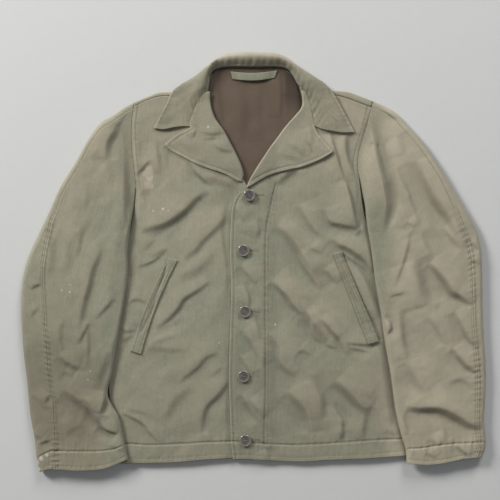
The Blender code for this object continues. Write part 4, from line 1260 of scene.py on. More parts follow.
@dataclass
class Body:
    """The back with its rolled shoulders, and the two fronts."""

    maker: Maker
    coarse: float = 2.2
    fine: float = 1.4
    panel_width: float = 255.0
    hem_band: float = 44.0
    placket_band: float = 66.0
    calm_share: float = 0.05
    ridge_depth: float = 3.0
    armhole_steps: int = 9
    side_steps: int = 22
    crumple_depth: float = 1.15
    loft: float = 1.8
    # Weights of the painted shade in the folds, and of the painted highlight and wear along their upper
    # edges.
    fold_shade_weight: float = 0.65
    crest_highlight_and_wear: float = 0.4
    tuck: float = 5.0
    back_inset: float = 0.3
    right_folds: Relief = field(default_factory=lambda: Relief(FOLDS_FRONT_RIGHT, 1.1))
    left_folds: Relief = field(default_factory=lambda: Relief(FOLDS_FRONT_LEFT, 1.75))
    placket_folds: Relief = field(default_factory=lambda: Relief(FOLDS_PLACKET, 2.6))

    def side_line(self, armhole: Sequence, side: Sequence) -> Grid:
        """Points down a body edge: the armhole in even steps, then the side in even steps."""
        return np.vstack([along(smooth_line(armhole), np.linspace(0, 1, self.armhole_steps + 1)),
                          along(smooth_line(side), np.linspace(0, 1, self.side_steps + 1))[1:]])

    def right_top(self, x: Grid, y: Grid) -> Grid:
        """Outer face of the right front, which runs below the left one at the middle."""
        still = front_base(x, y, HEM_LINE_RIGHT)
        folds = self.right_folds.height(x, y) * ease((-20 - x) / 18)
        return self.kept_up(still, folds + self.loft * ease((-24 - x) / 40), x, y)

    def left_top(self, x: Grid, y: Grid) -> Grid:
        """Outer face of the left front, which laps over the right one at the middle."""
        still = front_base(x, y, HEM_LINE_LEFT)
        placket = self.placket_folds.height(x, y) * ease((x + 38) / 10)
        folds = self.left_folds.height(x, y) * ease((x - 16) / 14)
        return self.kept_up(still, folds + self.loft * ease((x - 24) / 40), x, y) + left_lap(x) + placket

    @staticmethod
    def kept_up(still: Grid, folds: Grid, x: Grid, y: Grid) -> Grid:
        """A front's height with its folds, which stay clear of the back.

        Args:
            still: Height without folds.
            folds: What the folds add.
            x: Plan positions.
            y: Plan positions.

        Returns:
            Heights in mm.
        """
        lowest = LOWEST_FRONT_TOP + neck_rise(x, y) + fall_rise(x, y)
        return still + held_above(still + folds, lowest) - held_above(still, lowest)

    def front(self, name: str, side: Grid, edge: Grid, shoulder: Sequence, hem: Sequence,
              surface: Surface, seams: Sequence[Seam], side_first: bool, seed: int) -> bpy.types.Object:
        """Make one front.

        Args:
            name: The solid that it stands for.
            side: Line down the armhole and side.
            edge: Line down the roll and the front edge.
            shoulder: Shoulder seam.
            hem: Hem line.
            surface: Height of its outer face.
            seams: Sewn lines on it.
            side_first: Whether the side is at the start of across.
            seed: Seed of its wrinkles.

        Returns:
            The piece.
        """
        length = steps_of(side, 0).sum()
        band = self.placket_band / self.panel_width
        across = graded(self.coarse, self.fine, self.panel_width,
                        [(1 - band, 1.0)] if side_first else [(0.0, band)])
        down = graded(self.coarse, self.fine, length, [(1 - self.hem_band / length, 1.0)])
        first, last = (side, edge) if side_first else (edge, side)
        flat = patch(smooth_line(shoulder), smooth_line(hem), first, last, across, down)
        x, y = plan_of(flat)
        from_side = across if side_first else 1 - across
        calm = ease(from_side / self.calm_share)[None, :] * ease(down / self.calm_share)[:, None]
        still = front_base(x, y, HEM_LINE_RIGHT if side_first else HEM_LINE_LEFT)
        still = still + (0 if side_first else left_lap(x))
        lines = sum(seam.height(x, y) for seam in seams)
        small = Crumple(seed).height(x, y, 0.9 if side_first else -0.8, self.crumple_depth)
        folded = surface(x, y) - still
        grid = with_height(flat, still + (folded + small * 0.8) * calm + lines + small * 0.2)
        ridge = folded / self.ridge_depth
        sewn = sum(seam.closeness(x, y, 3.0) for seam in seams)
        # Painted shade along the seam grooves, pocket mouths and buttonholes.
        dark = sum(seam.closeness(x, y, seam.shade) for seam in seams if seam.shade)
        rubbed = 0 if side_first else 0.6 * Seam(smooth_line(OVERLAP_LEFT)).closeness(x, y, 2.4)
        folds = self.right_folds if side_first else self.left_folds
        # Soil here is all painted shade: in hollows, along the side and shoulder edges, in seam grooves,
        # towards the bottom and in the folds. Wear is real on ridges, seams and the overlap edge, with
        # painted light on fold crests and the brighter regions.
        marks = {
            "tone": tone_at(x, y) + 0.25 * share_of(ridge),
            "wear_and_painted_light": (0.35 * share_of(ridge) + 0.15 * share_of(sewn) + painted_light_at(x, y) + rubbed
                     + self.crest_highlight_and_wear * folds.crest(x, y)),
            "soil_and_painted_shade": (0.35 * share_of(-ridge) + 0.25 * (1 - calm) + 1.3 * share_of(dark)
                     + painted_lower_shade_at(x, y) + self.fold_shade_weight * folds.painted_fold_shade(x, y)),
        }
        sheet = Sheet(grid, grid - (0, 0, CLOTH), flat, marks)
        return self.maker.lay(name, [sheet], Drill(), "shell", ["back_panel_cloth"])

    def build(self) -> list[bpy.types.Object]:
        """Make the back and both fronts.

        A seam's numbers are its groove's depth and width, its puckers' height, reach and wave, its seed, and
        how far its painted shade spreads.

        Returns:
            The right front, the left front and the back.
        """
        right_side = self.side_line(ARMHOLE_RIGHT, SIDE_RIGHT)
        right_side[0] = SHOULDER_RIGHT[0]
        left_side = self.side_line(ARMHOLE_LEFT, SIDE_LEFT)
        left_side[0] = SHOULDER_LEFT[-1]
        right_edge = np.vstack([[SHOULDER_RIGHT[-1]], inset(ROLL_RIGHT, -3.6)[4:-8],
                                smooth_line(UNDERLAP_RIGHT)])
        left_edge = np.vstack([[SHOULDER_LEFT[0]], inset(ROLL_LEFT, 3.6)[4:], smooth_line(OVERLAP_LEFT)])
        right_seams = [
            Seam(smooth_line(HEM_LINE_RIGHT), 1.2, 1.2, 0.4, 9, 11, 5),
            Seam(shifted(HEM_RIGHT, 0, HEM_FOOT), 0.35, 1.4, 0.3, 6, 8, 7, 0),
            Seam(shifted(ARMHOLE_RIGHT, ARMHOLE_STITCH, 0), 0.5, 1.2, 0.22, 5, 9, 11, 0.8),
            Seam(smooth_line(MOUTH_RIGHT), 1.6, 1.7, 0.2, 5, 12, 14, 2.0),
        ]
        left_seams = [
            Seam(smooth_line(HEM_LINE_LEFT), 1.2, 1.2, 0.4, 9, 12, 6),
            Seam(shifted(HEM_LEFT, 0, HEM_FOOT), 0.35, 1.4, 0.3, 6, 8, 8, 0),
            Seam(smooth_line(FACING_LINE), 1.1, 1.3, 0.45, 4, 8, 9),
            Seam(inset(FACING_LINE, FACING_TWIN), 0.4, 1.2, 0.3, 4, 8, 13, 0),
            Seam(inset(OVERLAP_LEFT, OVERLAP_STITCH), 0.7, 1.3, 0.3, 4, 7, 10, 0.8),
            Seam(shifted(ARMHOLE_LEFT, -ARMHOLE_STITCH, 0), 0.5, 1.2, 0.3, 5, 9, 12, 0.8),
            Seam(smooth_line(MOUTH_LEFT), 2.4, 2.2, 0.2, 5, 12, 15, 2.6),
        ]
        left_seams += [Seam(line, 0.7, 0.9, 0.2, 3, 4, 16 + k, 1.0) for k, line in enumerate(slit_lines())]
        right = self.front("front_right_panel", right_side, right_edge, SHOULDER_RIGHT, HEM_RIGHT,
                           self.right_top, right_seams, True, 21)
        left = self.front("front_left_panel", left_side, left_edge, SHOULDER_LEFT, HEM_LEFT,
                          self.left_top, left_seams, False, 22)
        return [right, left, self.back()]

    def shoulder_wrap(self, line_rows: Sequence, seam_rows: Sequence,
                      fractions: Grid) -> tuple[Grid, Grid]:
        """The back cloth rolls over the shoulder line and ends at the seam on top.

        Args:
            line_rows: The shoulder line.
            seam_rows: The seam.
            fractions: Shares of the way along both.

        Returns:
            The outer and the inner face.
        """
        line = along(smooth_line(line_rows), fractions)
        seam = along(smooth_line(seam_rows), fractions)
        inward = (seam - line) / np.linalg.norm(seam - line, axis=1, keepdims=True)
        radius = FRONT_TOP / 2
        centre = line + inward * radius
        faces = []
        for depth in (0.0, CLOTH):
            reach = radius - depth
            rows = [(centre - inward * reach * np.cos(angle), radius + reach * np.sin(angle))
                    for angle in np.radians(np.linspace(-90, 90, 12))]
            rows += [(centre + (seam - inward * SEAM_GAP - centre) * share, FRONT_TOP - depth)
                     for share in (0.5, 1.0)]
            faces.append(np.array([with_height(flat, np.full(len(flat), level)) for flat, level in rows]))
        outer, inner = faces
        x, y = plan_of(outer)
        share = outer[..., 2] / FRONT_TOP
        tops = front_base(x[-1], y[-1], HEM_LINE_RIGHT) - FRONT_TOP
        rise = fall_rise(x, y) * (1 - share) + tops[None] * share
        outer[..., 2] += rise
        inner[..., 2] += rise
        return outer, inner

    def tucked(self, line: Grid, way: float) -> Grid:
        """The back's side line, which runs on a little under the sleeve, to the side that way gives."""
        level = line[:, 1]
        reach = self.tuck * ease((150 - level) / 15) * ease((level + 260) / 40) - self.back_inset
        return line + way * np.column_stack([reach, np.zeros(len(line))])

    def back(self) -> bpy.types.Object:
        """The back, flat on the floor, with its two rolled shoulders."""
        fractions = np.linspace(0, 1, 40)
        right = self.shoulder_wrap(SHOULDER_LINE_RIGHT, SHOULDER_RIGHT, fractions)
        left = self.shoulder_wrap(SHOULDER_LINE_LEFT, SHOULDER_LEFT, fractions)
        neck = along(smooth_line(BACK_NECK), fractions)
        top = np.vstack([right[0][0, :, :2], neck[1:-1], left[0][0, :, :2]])
        hem = np.vstack([smooth_line(HEM_RIGHT[:-1]), smooth_line(HEM_LEFT[1:])]) + (0, BACK_HEM_DROP)
        across, down = np.linspace(0, 1, len(top)), np.linspace(0, 1, 110)
        bottom = along(hem, across)
        first = self.tucked(self.side_line(ARMHOLE_RIGHT, SIDE_RIGHT), -1)
        last = self.tucked(self.side_line(ARMHOLE_LEFT, SIDE_LEFT), 1)
        first[0], last[0], first[-1], last[-1] = top[0], top[-1], bottom[0], bottom[-1]
        flat = stretched(top, bottom, along(first, down), along(last, down), across, down)
        grid = with_height(flat, fall_rise(*plan_of(flat)))
        sheets = [Sheet(grid, grid + (0, 0, CLOTH), flat, {"tone": tone_at(*plan_of(flat))})]
        for outer, inner in (right, left):
            marks = {"tone": tone_at(*plan_of(outer)) + 0.2, "wear_and_painted_light": 0.45 * ease(outer[..., 2] / FRONT_TOP)}
            sheets.append(Sheet(outer, inner, own_map(outer), marks))
        return self.maker.lay("back_panel", sheets, Drill(), "shell", ["floor"])


@dataclass
class Sleeve:
    """A sleeve lying flat: a tube whose under piece wraps round the outer fold to the felled seam."""

    maker: Maker
    side: str
    outer: Sequence
    inner: Sequence
    armhole: Grid
    cuff: Sequence
    seam: Sequence
    cuff_line: Sequence
    relief: Relief
    seed: int
    top: float = 15.0
    edge_round: float = 7.5
    over_body: float = 7.6
    lift_flat: float = 24.0
    lift_width: float = 34.0
    fold_half: float = 3.6
    cloth: float = 1.4
    seam_shows: float = 0.30
    hide_start: float = 0.03
    hide_end: float = 0.12
    coarse: float = 2.2
    fine: float = 1.5
    seam_half: float = 5.0
    seam_length: float = 640.0
    upper_step: float = 2.4
    lower_step: float = 7.0
    crumple_depth: float = 1.3
    # Weights of the painted shade in the folds, and of the painted highlight and wear along their upper
    # edges.
    fold_shade_weight: float = 0.65
    crest_highlight_and_wear: float = 0.6

    def __post_init__(self) -> None:
        """Work out the rows of the tube."""
        outer, inner = smooth_line(self.outer), smooth_line(self.inner)
        outer[0], inner[0] = self.armhole[0], self.armhole[-1]
        length = steps_of(outer, 0).sum()
        self.down = graded(self.coarse, self.fine, length, [(0.0, 0.03), (1 - 48 / length, 1.0)])
        self.lines = patch(self.armhole, smooth_line(self.cuff), outer, inner, np.linspace(0, 1, 61),
                           self.down)
        self.widths = steps_of(self.lines, 1).sum(axis=1)
        self.seam_at = np.interp(self.down, *np.array(self.seam).T) * self.widths

    def plan(self, distance: Grid) -> tuple[Grid, Grid]:
        """Plan positions at distances from the outer fold, a row of them for each row of the tube."""
        rows = zip(self.lines, distance, self.widths)
        return plan_of(np.array([along(line, away / width) for line, away, width in rows]))

    def shape(self, distance: Grid, turn: Grid, hold: Grid, wall: float) -> tuple[Grid, dict[str, Grid]]:
        """Points of the tube.

        Args:
            distance: Distance from the outer fold, by row and column.
            turn: 0 at a fold and 1 on the flat, by column.
            hold: The side of the tube that each column lies on.
            wall: Depth below the outer face.

        Returns:
            The points and the marks painted on them.
        """
        x, y = self.plan(distance)
        t = self.down[:, None]
        body = ease(t / 0.16)
        from_inner = self.widths[:, None] - distance
        from_fold = np.minimum(distance, from_inner)
        lifted = self.over_body * ease((t - self.hide_start) / (self.hide_end - self.hide_start))
        lift = lifted * ease(1 - (from_inner - self.lift_flat) / self.lift_width)
        fold_height = FRONT_TOP / 2 + (self.top * 0.42 - FRONT_TOP / 2) * body
        middle = fold_height + (lift + self.fold_half - fold_height) * lift / self.over_body
        crown = np.sin(np.pi * share_of(distance / self.widths[:, None]))
        edge_calm = ease(from_fold / 8)
        folds = self.relief.height(x, y)
        small = Crumple(self.seed).height(x, y, 1.2 if self.side == "right" else -1.2, self.crumple_depth)
        cuff = Seam(smooth_line(self.cuff_line), 1.2, 1.2, 0.5, 9, 11, self.seed + 1)
        foot = Seam(shifted(self.cuff, 0, CUFF_FOOT), 0.4, 1.4, 0.3, 6, 8, self.seed + 2)
        signed = distance - self.seam_at[:, None]
        shows = ease((t - self.seam_shows) / 0.08)
        felled = self.felled(signed, t * self.seam_length) * shows
        head = 0.5 * np.exp(-t * 60) * np.sin(x * 0.9 + y * 0.55)
        detail = cuff.height(x, y) + foot.height(x, y) + hem_height(x, y, self.cuff_line) + felled
        top = FRONT_TOP + (self.top - FRONT_TOP - 2) * body + 3 * body * crown + lift * 0.35
        top = top + (folds * ease(t / 0.07) + small * body + detail + head) * edge_calm
        top = np.maximum(top, middle + np.minimum(self.fold_half, FRONT_TOP / 2 + body))
        above = middle + (top - wall - middle) * turn[None, :]
        below = middle - (middle - lift - wall) * turn[None, :]
        z = np.where(hold[None, :] == Hold.TOP.value, above, below)
        away = np.abs(signed)
        ridge = folds / 4
        sewn = np.exp(-away / 5) * shows + cuff.closeness(x, y, 3) + foot.closeness(x, y, 4)
        # Painted shade in the grooves of the felled seam's stitch rows and of the cuff line.
        dark = np.exp(-np.abs(away - self.seam_half + 1)) * shows + cuff.closeness(x, y, 1.2)
        # Soil here is painted shade in hollows, grooves, folds and towards the bottom. Wear is real, with
        # painted light on the fold crests and the brighter regions.
        marks = {
            "tone": tone_at(x, y) + 0.2 * share_of(ridge),
            "wear_and_painted_light": (0.3 * share_of(ridge) + 0.25 * share_of(sewn) + 0.3 * np.exp(-from_fold / 5)
                     + painted_light_at(x, y) + self.crest_highlight_and_wear * self.relief.crest(x, y)),
            "soil_and_painted_shade": (0.35 * share_of(-ridge) + 0.8 * share_of(dark) + painted_lower_shade_at(x, y)
                     + self.fold_shade_weight * self.relief.painted_fold_shade(x, y)),
        }
        return np.stack([x, y, z], axis=-1), marks

    def felled(self, signed: Grid, place: Grid) -> Grid:
        """The flat-felled seam: a raised band with a groove at each row of stitches, and puckers.

        Args:
            signed: Distances from the seam, positive towards the inner fold.
            place: Distances along it.

        Returns:
            What it adds to the height.
        """
        away = np.abs(signed)
        phases = np.random.default_rng(self.seed + 9).uniform(0, 2 * np.pi, 4)
        band = 0.8 * ease((self.seam_half + 1.5 - away) / 2)
        rows = -0.8 * bell(away - self.seam_half + 1, 1.1)
        swell = 0.7 + 0.5 * np.sin(place / 31 + phases[1])
        ripple = (np.sin(2 * np.pi * place / 9.5 + phases[0] + signed * 0.12) * swell
                  + 0.5 * np.sin(2 * np.pi * place / 6.1 + phases[2]))
        return band + rows + 0.42 * ripple * np.exp(-np.maximum(away - 4, 0) / 3.5)

    def columns(self, first: Grid, last: Grid, open_start: bool, open_end: bool,
                wall: float, step: float) -> tuple[Grid, Grid]:
        """Distances and turns of columns between two distances.

        Args:
            first: Where each row starts.
            last: Where each row ends.
            open_start: Whether the start is a seam and not the outer fold.
            open_end: Whether the end is a seam and not the inner fold.
            wall: Depth below the outer face.
            step: Spacing on the flat.

        Returns:
            Distances by row and column, and turns by column.
        """
        angles = np.radians(np.linspace(0, 90, 9))
        bend = wall + (self.edge_round - wall) * (1 - np.cos(angles))
        start = first if open_start else np.full_like(first, self.edge_round)
        end = last if open_end else last - self.edge_round
        count = max(3, int(np.ceil(np.max(end - start) / step)))
        flat = start[:, None] + (end - start)[:, None] * np.linspace(0, 1, count)[None, :]
        distances, turns = [flat], [np.ones(count)]
        if not open_start:
            distances.insert(0, np.repeat(bend[None, :-1], len(first), axis=0))
            turns.insert(0, np.sin(angles)[:-1])
        if not open_end:
            distances.append(last[:, None] - bend[None, -2::-1])
            turns.append(np.sin(angles)[-2::-1])
        return np.hstack(distances), np.concatenate(turns)

    def build(self) -> list[bpy.types.Object]:
        """Make the top and the under piece."""
        zero = np.zeros_like(self.widths)
        half_gap = SEAM_GAP / 2
        faces: dict[str, list] = {"top": [], "under": []}
        for wall in (0.0, self.cloth):
            distance, turn = self.columns(self.seam_at + half_gap, self.widths, True, False, wall,
                                          self.upper_step)
            points, marks = self.shape(distance, turn, np.full(len(turn), Hold.TOP.value), wall)
            points[:, -1, 2] += half_gap
            faces["top"].append((points, marks))
            wrapped, wrapped_turn = self.columns(zero, self.seam_at - half_gap, False, True, wall,
                                                 self.upper_step)
            below, below_turn = self.columns(zero, self.widths, False, False, wall, self.lower_step)
            hold = np.repeat([Hold.TOP.value, Hold.UNDER.value], [len(wrapped_turn), len(below_turn) - 1])
            points, marks = self.shape(np.hstack([wrapped[:, ::-1], below[:, 1:]]),
                                       np.concatenate([wrapped_turn[::-1], below_turn[1:]]), hold, wall)
            points[:, -1, 2] -= half_gap
            faces["under"].append((points, marks))
        made = []
        for part, ((outer, marks), (inner, _)) in faces.items():
            rests_on = ["floor"] if part == "under" else [f"sleeve_{self.side}_under_cloth"]
            sheet = Sheet(outer, inner, own_map(outer), marks)
            made.append(self.maker.lay(f"sleeve_{self.side}_{part}", [sheet], Drill(), "shell", rests_on))
        return made


@dataclass
class Neck:
    """The lining, the hanger loop, the lapels and the collar."""

    maker: Maker
    body: Body
    roll_round: float = 3.5
    clearance: float = 0.9
    crest: float = 2.6
    flat_steps: int = 44
    far: float = 1000.0

    def back_top(self, x: Grid, y: Grid) -> Grid:
        """Upper face of the back panel."""
        return fall_rise(x, y) + CLOTH

    def lining(self) -> bpy.types.Object:
        """The wool lining of the back, as far as the open neck shows it."""
        across, down = np.linspace(0, 1, 80), np.linspace(0, 1, 110)
        flat = patch(smooth_line(LINING_TOP), smooth_line(LINING_FOOT), smooth_line(LINING_SIDE_RIGHT),
                     smooth_line(LINING_SIDE_LEFT), across, down)
        x, y = plan_of(flat)
        folds = Relief(FOLDS_LINING, 1.3)
        u, v = np.minimum(across, 1 - across)[None, :], np.minimum(down, 1 - down)[:, None]
        calm = ease(u / 0.14) * ease(v / 0.08)
        small = Crumple(31).height(x, y, 1.5, 0.5)
        eased = self.back_top(x, y) + FALL_RISE * (ease((y - 120) / 170) - ease((y - 270) / 20)) * calm
        top = eased + LAYER_GAP + LINING + (folds.height(x, y) + small) * calm
        grid = with_height(flat, np.maximum(top, self.back_top(x, y) + LINING + 0.1))
        # Painted shade near the sides where the fronts lie over the lining, in its hollow on the left and in
        # its folds.
        sides = 0.5 * ease((14 - np.minimum(x + 78, 84 - x)) / 14)
        marks = {"soil_and_painted_shade": ease((x - 50) / 8) * ease((y - 235) / 50) + sides + 0.5 * folds.painted_fold_shade(x, y)}
        sheet = Sheet(grid, grid - (0, 0, LINING), flat, marks)
        return self.maker.lay("back_lining", [sheet], Wool(), "lining", ["back_panel_cloth"])

    def loop(self) -> bpy.types.Object:
        """The hanger loop, slack between its two sewn ends."""
        corners = np.array(LOOP_ENDS, float)
        across, down = np.linspace(0, 1, 60), np.linspace(0, 1, 12)
        dip = np.sin(np.pi * across)[:, None] * np.array([0, -LOOP_DIP])
        upper = corners[0] + across[:, None] * (corners[3] - corners[0]) + dip
        lower = corners[1] + across[:, None] * (corners[2] - corners[1]) + dip
        flat = upper[None] * (1 - down[:, None, None]) + lower[None] * down[:, None, None]
        slack = LOOP_SLACK * ease(np.sin(np.pi * across) * 1.6 - 0.3)[None, :]
        seat = self.back_top(*plan_of(flat)) + LAYER_GAP + LINING
        roundness = 0.25 * np.sin(np.pi * down)[:, None]
        grid = with_height(flat, seat + SEAM_GAP + 0.1 + LOOP_CLOTH + slack + roundness)
        rim = np.exp(-np.minimum(down, 1 - down) / 0.12)[:, None]
        sheet = Sheet(grid, grid - (0, 0, LOOP_CLOTH), flat, {"tone": 0.15, "wear_and_painted_light": 0.3 * rim, "soil_and_painted_shade": 0.25})
        return self.maker.lay("hanger_loop", [sheet], Drill(), "facing", ["back_lining_cloth"])

    def from_edge(self, line: Grid, x: Grid, y: Grid) -> Grid:
        """Distances of plan points from a lapel's edge, which are large where they don't matter."""
        close, away, _, _ = Trace(line).near(x, y, 40)
        total = np.full_like(x, self.far)
        total[close] = away
        return total

    def lapel(self, name: str, outline: Sequence, roll: Sequence, surface: Surface,
              seed: int) -> bpy.types.Object:
        """A lapel from its rolled edge over to its outline, lying on the front.

        Args:
            name: The solid that it stands for.
            outline: Gorge seam, notch to tip, and lower edge.
            roll: The rolled edge.
            surface: Height of the front below it.
            seed: Seed of its wrinkles.

        Returns:
            The piece.
        """
        angles = np.radians(np.linspace(0, 90, 8))
        stops = (0, ROLL_AT_NOTCH, ROLL_AT_TIP, 1)
        counts = (28, 22, 56)
        shares = [np.linspace(stops[k], stops[k + 1], counts[k] + 1)[k > 0:] for k in range(3)]
        starts = along(smooth_line(roll), np.concatenate(shares))
        ends = np.vstack([along(smooth_line(outline[k]), np.linspace(0, 1, counts[k] + 1))[k > 0:]
                          for k in range(3)])
        order = np.arange(len(starts))
        calm = ease(np.minimum(order, order[::-1]) / 20)[:, None]
        turn = np.concatenate([np.sin(angles), np.ones(self.flat_steps - 1)])[None, :]
        edge = Seam(np.vstack([inset(outline[1], 0), smooth_line(outline[2])]), 0.0, 1.2, 0.28, 8, 8, seed)
        folds = Relief(FOLDS_LAPELS, 1.5)
        faces = []
        for wall in (0.0, CLOTH):
            rows = []
            for start, end in zip(starts, ends):
                width = np.linalg.norm(end - start)
                rolled = min(self.roll_round, 0.45 * width)
                bend = wall + (rolled - wall) * (1 - np.cos(angles))
                flat_part = rolled + (width - rolled) * np.linspace(0, 1, self.flat_steps)[1:]
                rows.append(start + np.concatenate([bend, flat_part])[:, None] / width * (end - start))
            flat = np.array(rows)
            x, y = plan_of(flat)
            base = surface(x, y) + self.clearance
            crest = self.crest * np.linspace(1, 0, flat.shape[1])[None, :]**1.5 * calm
            groove = -0.5 * bell(self.from_edge(edge.line, x, y) - EDGE_STITCH, 1.3)
            small = Crumple(seed).height(x, y, 0.6, 0.8) + folds.height(x, y) + edge.height(x, y)
            high = base + CLOTH + crest + groove + small * calm
            low = base + (-self.clearance - 0.4 * CLOTH) * calm
            faces.append(with_height(flat, low + (high - wall - low) * turn))
        outer, inner = faces
        x, y = plan_of(outer)
        roll_wear = 0.4 * np.exp(-np.arange(outer.shape[1]) / 6.0)[None, :]
        # Wear on the edge and the roll, with broad painted light.
        wear_and_painted_light = 0.6 * np.exp(-self.from_edge(edge.line, x, y) / 3.5) + roll_wear + painted_light_at(x, y)
        sheet = Sheet(outer, inner, own_map(outer), {"tone": tone_at(x, y) + 0.12, "wear_and_painted_light": wear_and_painted_light})
        rests_on = [name.replace("lapel", "front") + "_panel_cloth"]
        return self.maker.lay(name, [sheet], Drill(), "facing", rests_on, slice(0, 1))

    def collar(self) -> bpy.types.Object:
        """The collar: stand inside the neck, roll, and the fall that lies out and below the back."""
        columns, rows = 70, 260
        stations = np.array([along(smooth_line(row), np.linspace(0, 1, columns)) for row in COLLAR])
        shares = np.linspace(0, 1, rows)
        grid = np.stack([along(smooth_line(stations[:, k]), shares) for k in range(columns)], axis=1)
        grid[..., 2] = np.maximum(grid[..., 2], 0)
        outward = normals(grid)
        outward = outward if outward[3, 3][2] > 0 else -outward
        x, y = plan_of(grid)
        lengths = np.concatenate([np.zeros((rows, 1)), np.cumsum(steps_of(grid, 1), axis=1)], axis=1)
        from_edge = lengths[:, -1:] - lengths
        place = own_map(grid)[..., 1]
        groove = -0.5 * bell(from_edge - EDGE_STITCH, 1.3)
        seam = -0.4 * bell(lengths - 4, 1.2)
        ripple = (0.3 * np.sin(place / 1.3) + 0.22 * np.sin(place / 2.6 + 1)) * np.exp(-from_edge / 7)
        stand = 0.5 * np.sin(place / 1.9) + 0.6 * np.sin(place / 4.2 + np.sin(place / 13))
        stand = stand * np.exp(-lengths / 12)
        small = Crumple(41).height(x, y, 0.4, 1.5)
        ends = ease(np.minimum(np.arange(rows), rows - 1 - np.arange(rows)) / 8)[:, None]
        free = ease(lengths / 4) * ease(from_edge / 2) * ends
        lift = (groove + seam + ripple + stand + small) * free
        lifted = grid + outward * lift[..., None]
        lifted[..., 2] = np.maximum(lifted[..., 2], 0)
        inner = grid - outward * CLOTH
        strip = ease((y - 328) / 6)
        mottle = Crumple(43).layer(x, y, 24)
        brink = 0.15 * ease((grid[..., 2] - 14) / 5)
        marks = {
            "tone": tone_at(x, y) + 0.1 + 0.3 * strip + 0.2 * mottle,
            "wear_and_painted_light": 0.9 * np.exp(-from_edge / 3.5) + brink + 0.7 * strip + 0.25 * mottle,
            # Soil: uneven soiling in blots, and a line of painted shade beside the edge stitching.
            "soil_and_painted_shade": 0.5 * share_of(-mottle) + 0.5 * bell(from_edge - 7, 1.6),
        }
        mesh = self.maker.wall("collar", [Sheet(lifted, inner, own_map(grid), marks)])
        piece = self.maker.add("collar_cloth", mesh, Drill(), "facing", ["collar"])
        declare(piece, grid, ["lapel_right_cloth", "lapel_left_cloth"])
        return piece

    def build(self) -> list[bpy.types.Object]:
        """Make all pieces of the neck."""
        return [
            self.lining(),
            self.loop(),
            self.lapel("lapel_right", (GORGE_RIGHT, NOTCH_TO_TIP_RIGHT, LAPEL_HEM_RIGHT), ROLL_RIGHT,
                       self.body.right_top, 51),
            self.lapel("lapel_left", (GORGE_LEFT, NOTCH_TO_TIP_LEFT, LAPEL_HEM_LEFT), ROLL_LEFT,
                       self.body.left_top, 52),
            self.collar(),
        ]


def bowed(name: str, share: float, down: Grid) -> Grid:
    """A line down a pocket welt.

    Args:
        name: The welt.
        share: Share of the welt's width at which it runs.
        down: Shares of the welt's length.

    Returns:
        A plan point for each share of the length.
    """
    ends = np.array(WELTS[name], float)
    outward = np.array([ends[0][1] - ends[3][1], ends[3][0] - ends[0][0]])
    outward = outward / np.linalg.norm(outward) * WELT_BOWS[name]
    start = ends[0] * (1 - share) + ends[1] * share
    end = ends[3] * (1 - share) + ends[2] * share
    return start + down[:, None] * (end - start) + np.sin(np.pi * down)[:, None] * outward


@dataclass
class Welts:
    """The two slanted pocket welts."""

    maker: Maker
    ground: Ground
    length: float = 170.0
    fold_depth: float = 0.9
    fold_at: float = 0.45

    def welt(self, name: str, seed: int) -> bpy.types.Object:
        """One welt: a narrow strip on its front, bowed a little along its length."""
        down, across = np.linspace(0, 1, 90), np.linspace(0, 1, 14)
        first, last = bowed(name, 0.0, down), bowed(name, 1.0, down)
        flat = first[:, None] * (1 - across[None, :, None]) + last[:, None] * across[None, :, None]
        seat = self.ground.heights(flat)
        u, v = across[None, :], down[:, None]
        place = v * self.length
        rim = -0.35 * (bell(u - 0.2, 0.07) + bell(u - 0.8, 0.07))
        phases = np.random.default_rng(seed).uniform(0, 6, 3)
        ripple = 0.25 * np.sin(place / 1.5 + phases[0]) * (0.6 + 0.4 * np.sin(place / 7 + phases[1]))
        fold = self.fold_depth * bell(u - self.fold_at, 0.09) * ease((v - 0.1) / 0.06)
        fold = fold * ease((0.62 - v) / 0.1)
        grid = with_height(flat, seat + LAYER_GAP + WELT_CLOTH + rim + ripple * np.abs(u - 0.5) * 2 - fold)
        marks = {
            "tone": tone_at(*plan_of(flat)) + 0.1,
            "wear_and_painted_light": 0.35 * np.exp(-np.minimum(u, 1 - u) / 0.1),
            # Painted shade in the grooves by the stitch rows and in the welt's sunk fold.
            "soil_and_painted_shade": 0.5 * bell(np.abs(u - 0.5) - 0.3, 0.06) + 0.8 * fold,
        }
        sheet = Sheet(grid, with_height(flat, seat + LAYER_GAP), own_map(grid), marks)
        rests_on = [name.replace("pocket_welt", "front") + "_panel_cloth"]
        return self.maker.lay(name, [sheet], Drill(), "shell", rests_on)

    def build(self) -> list[bpy.types.Object]:
        """Make both welts."""
        return [self.welt(name, seed) for seed, name in enumerate(WELTS, start=61)]


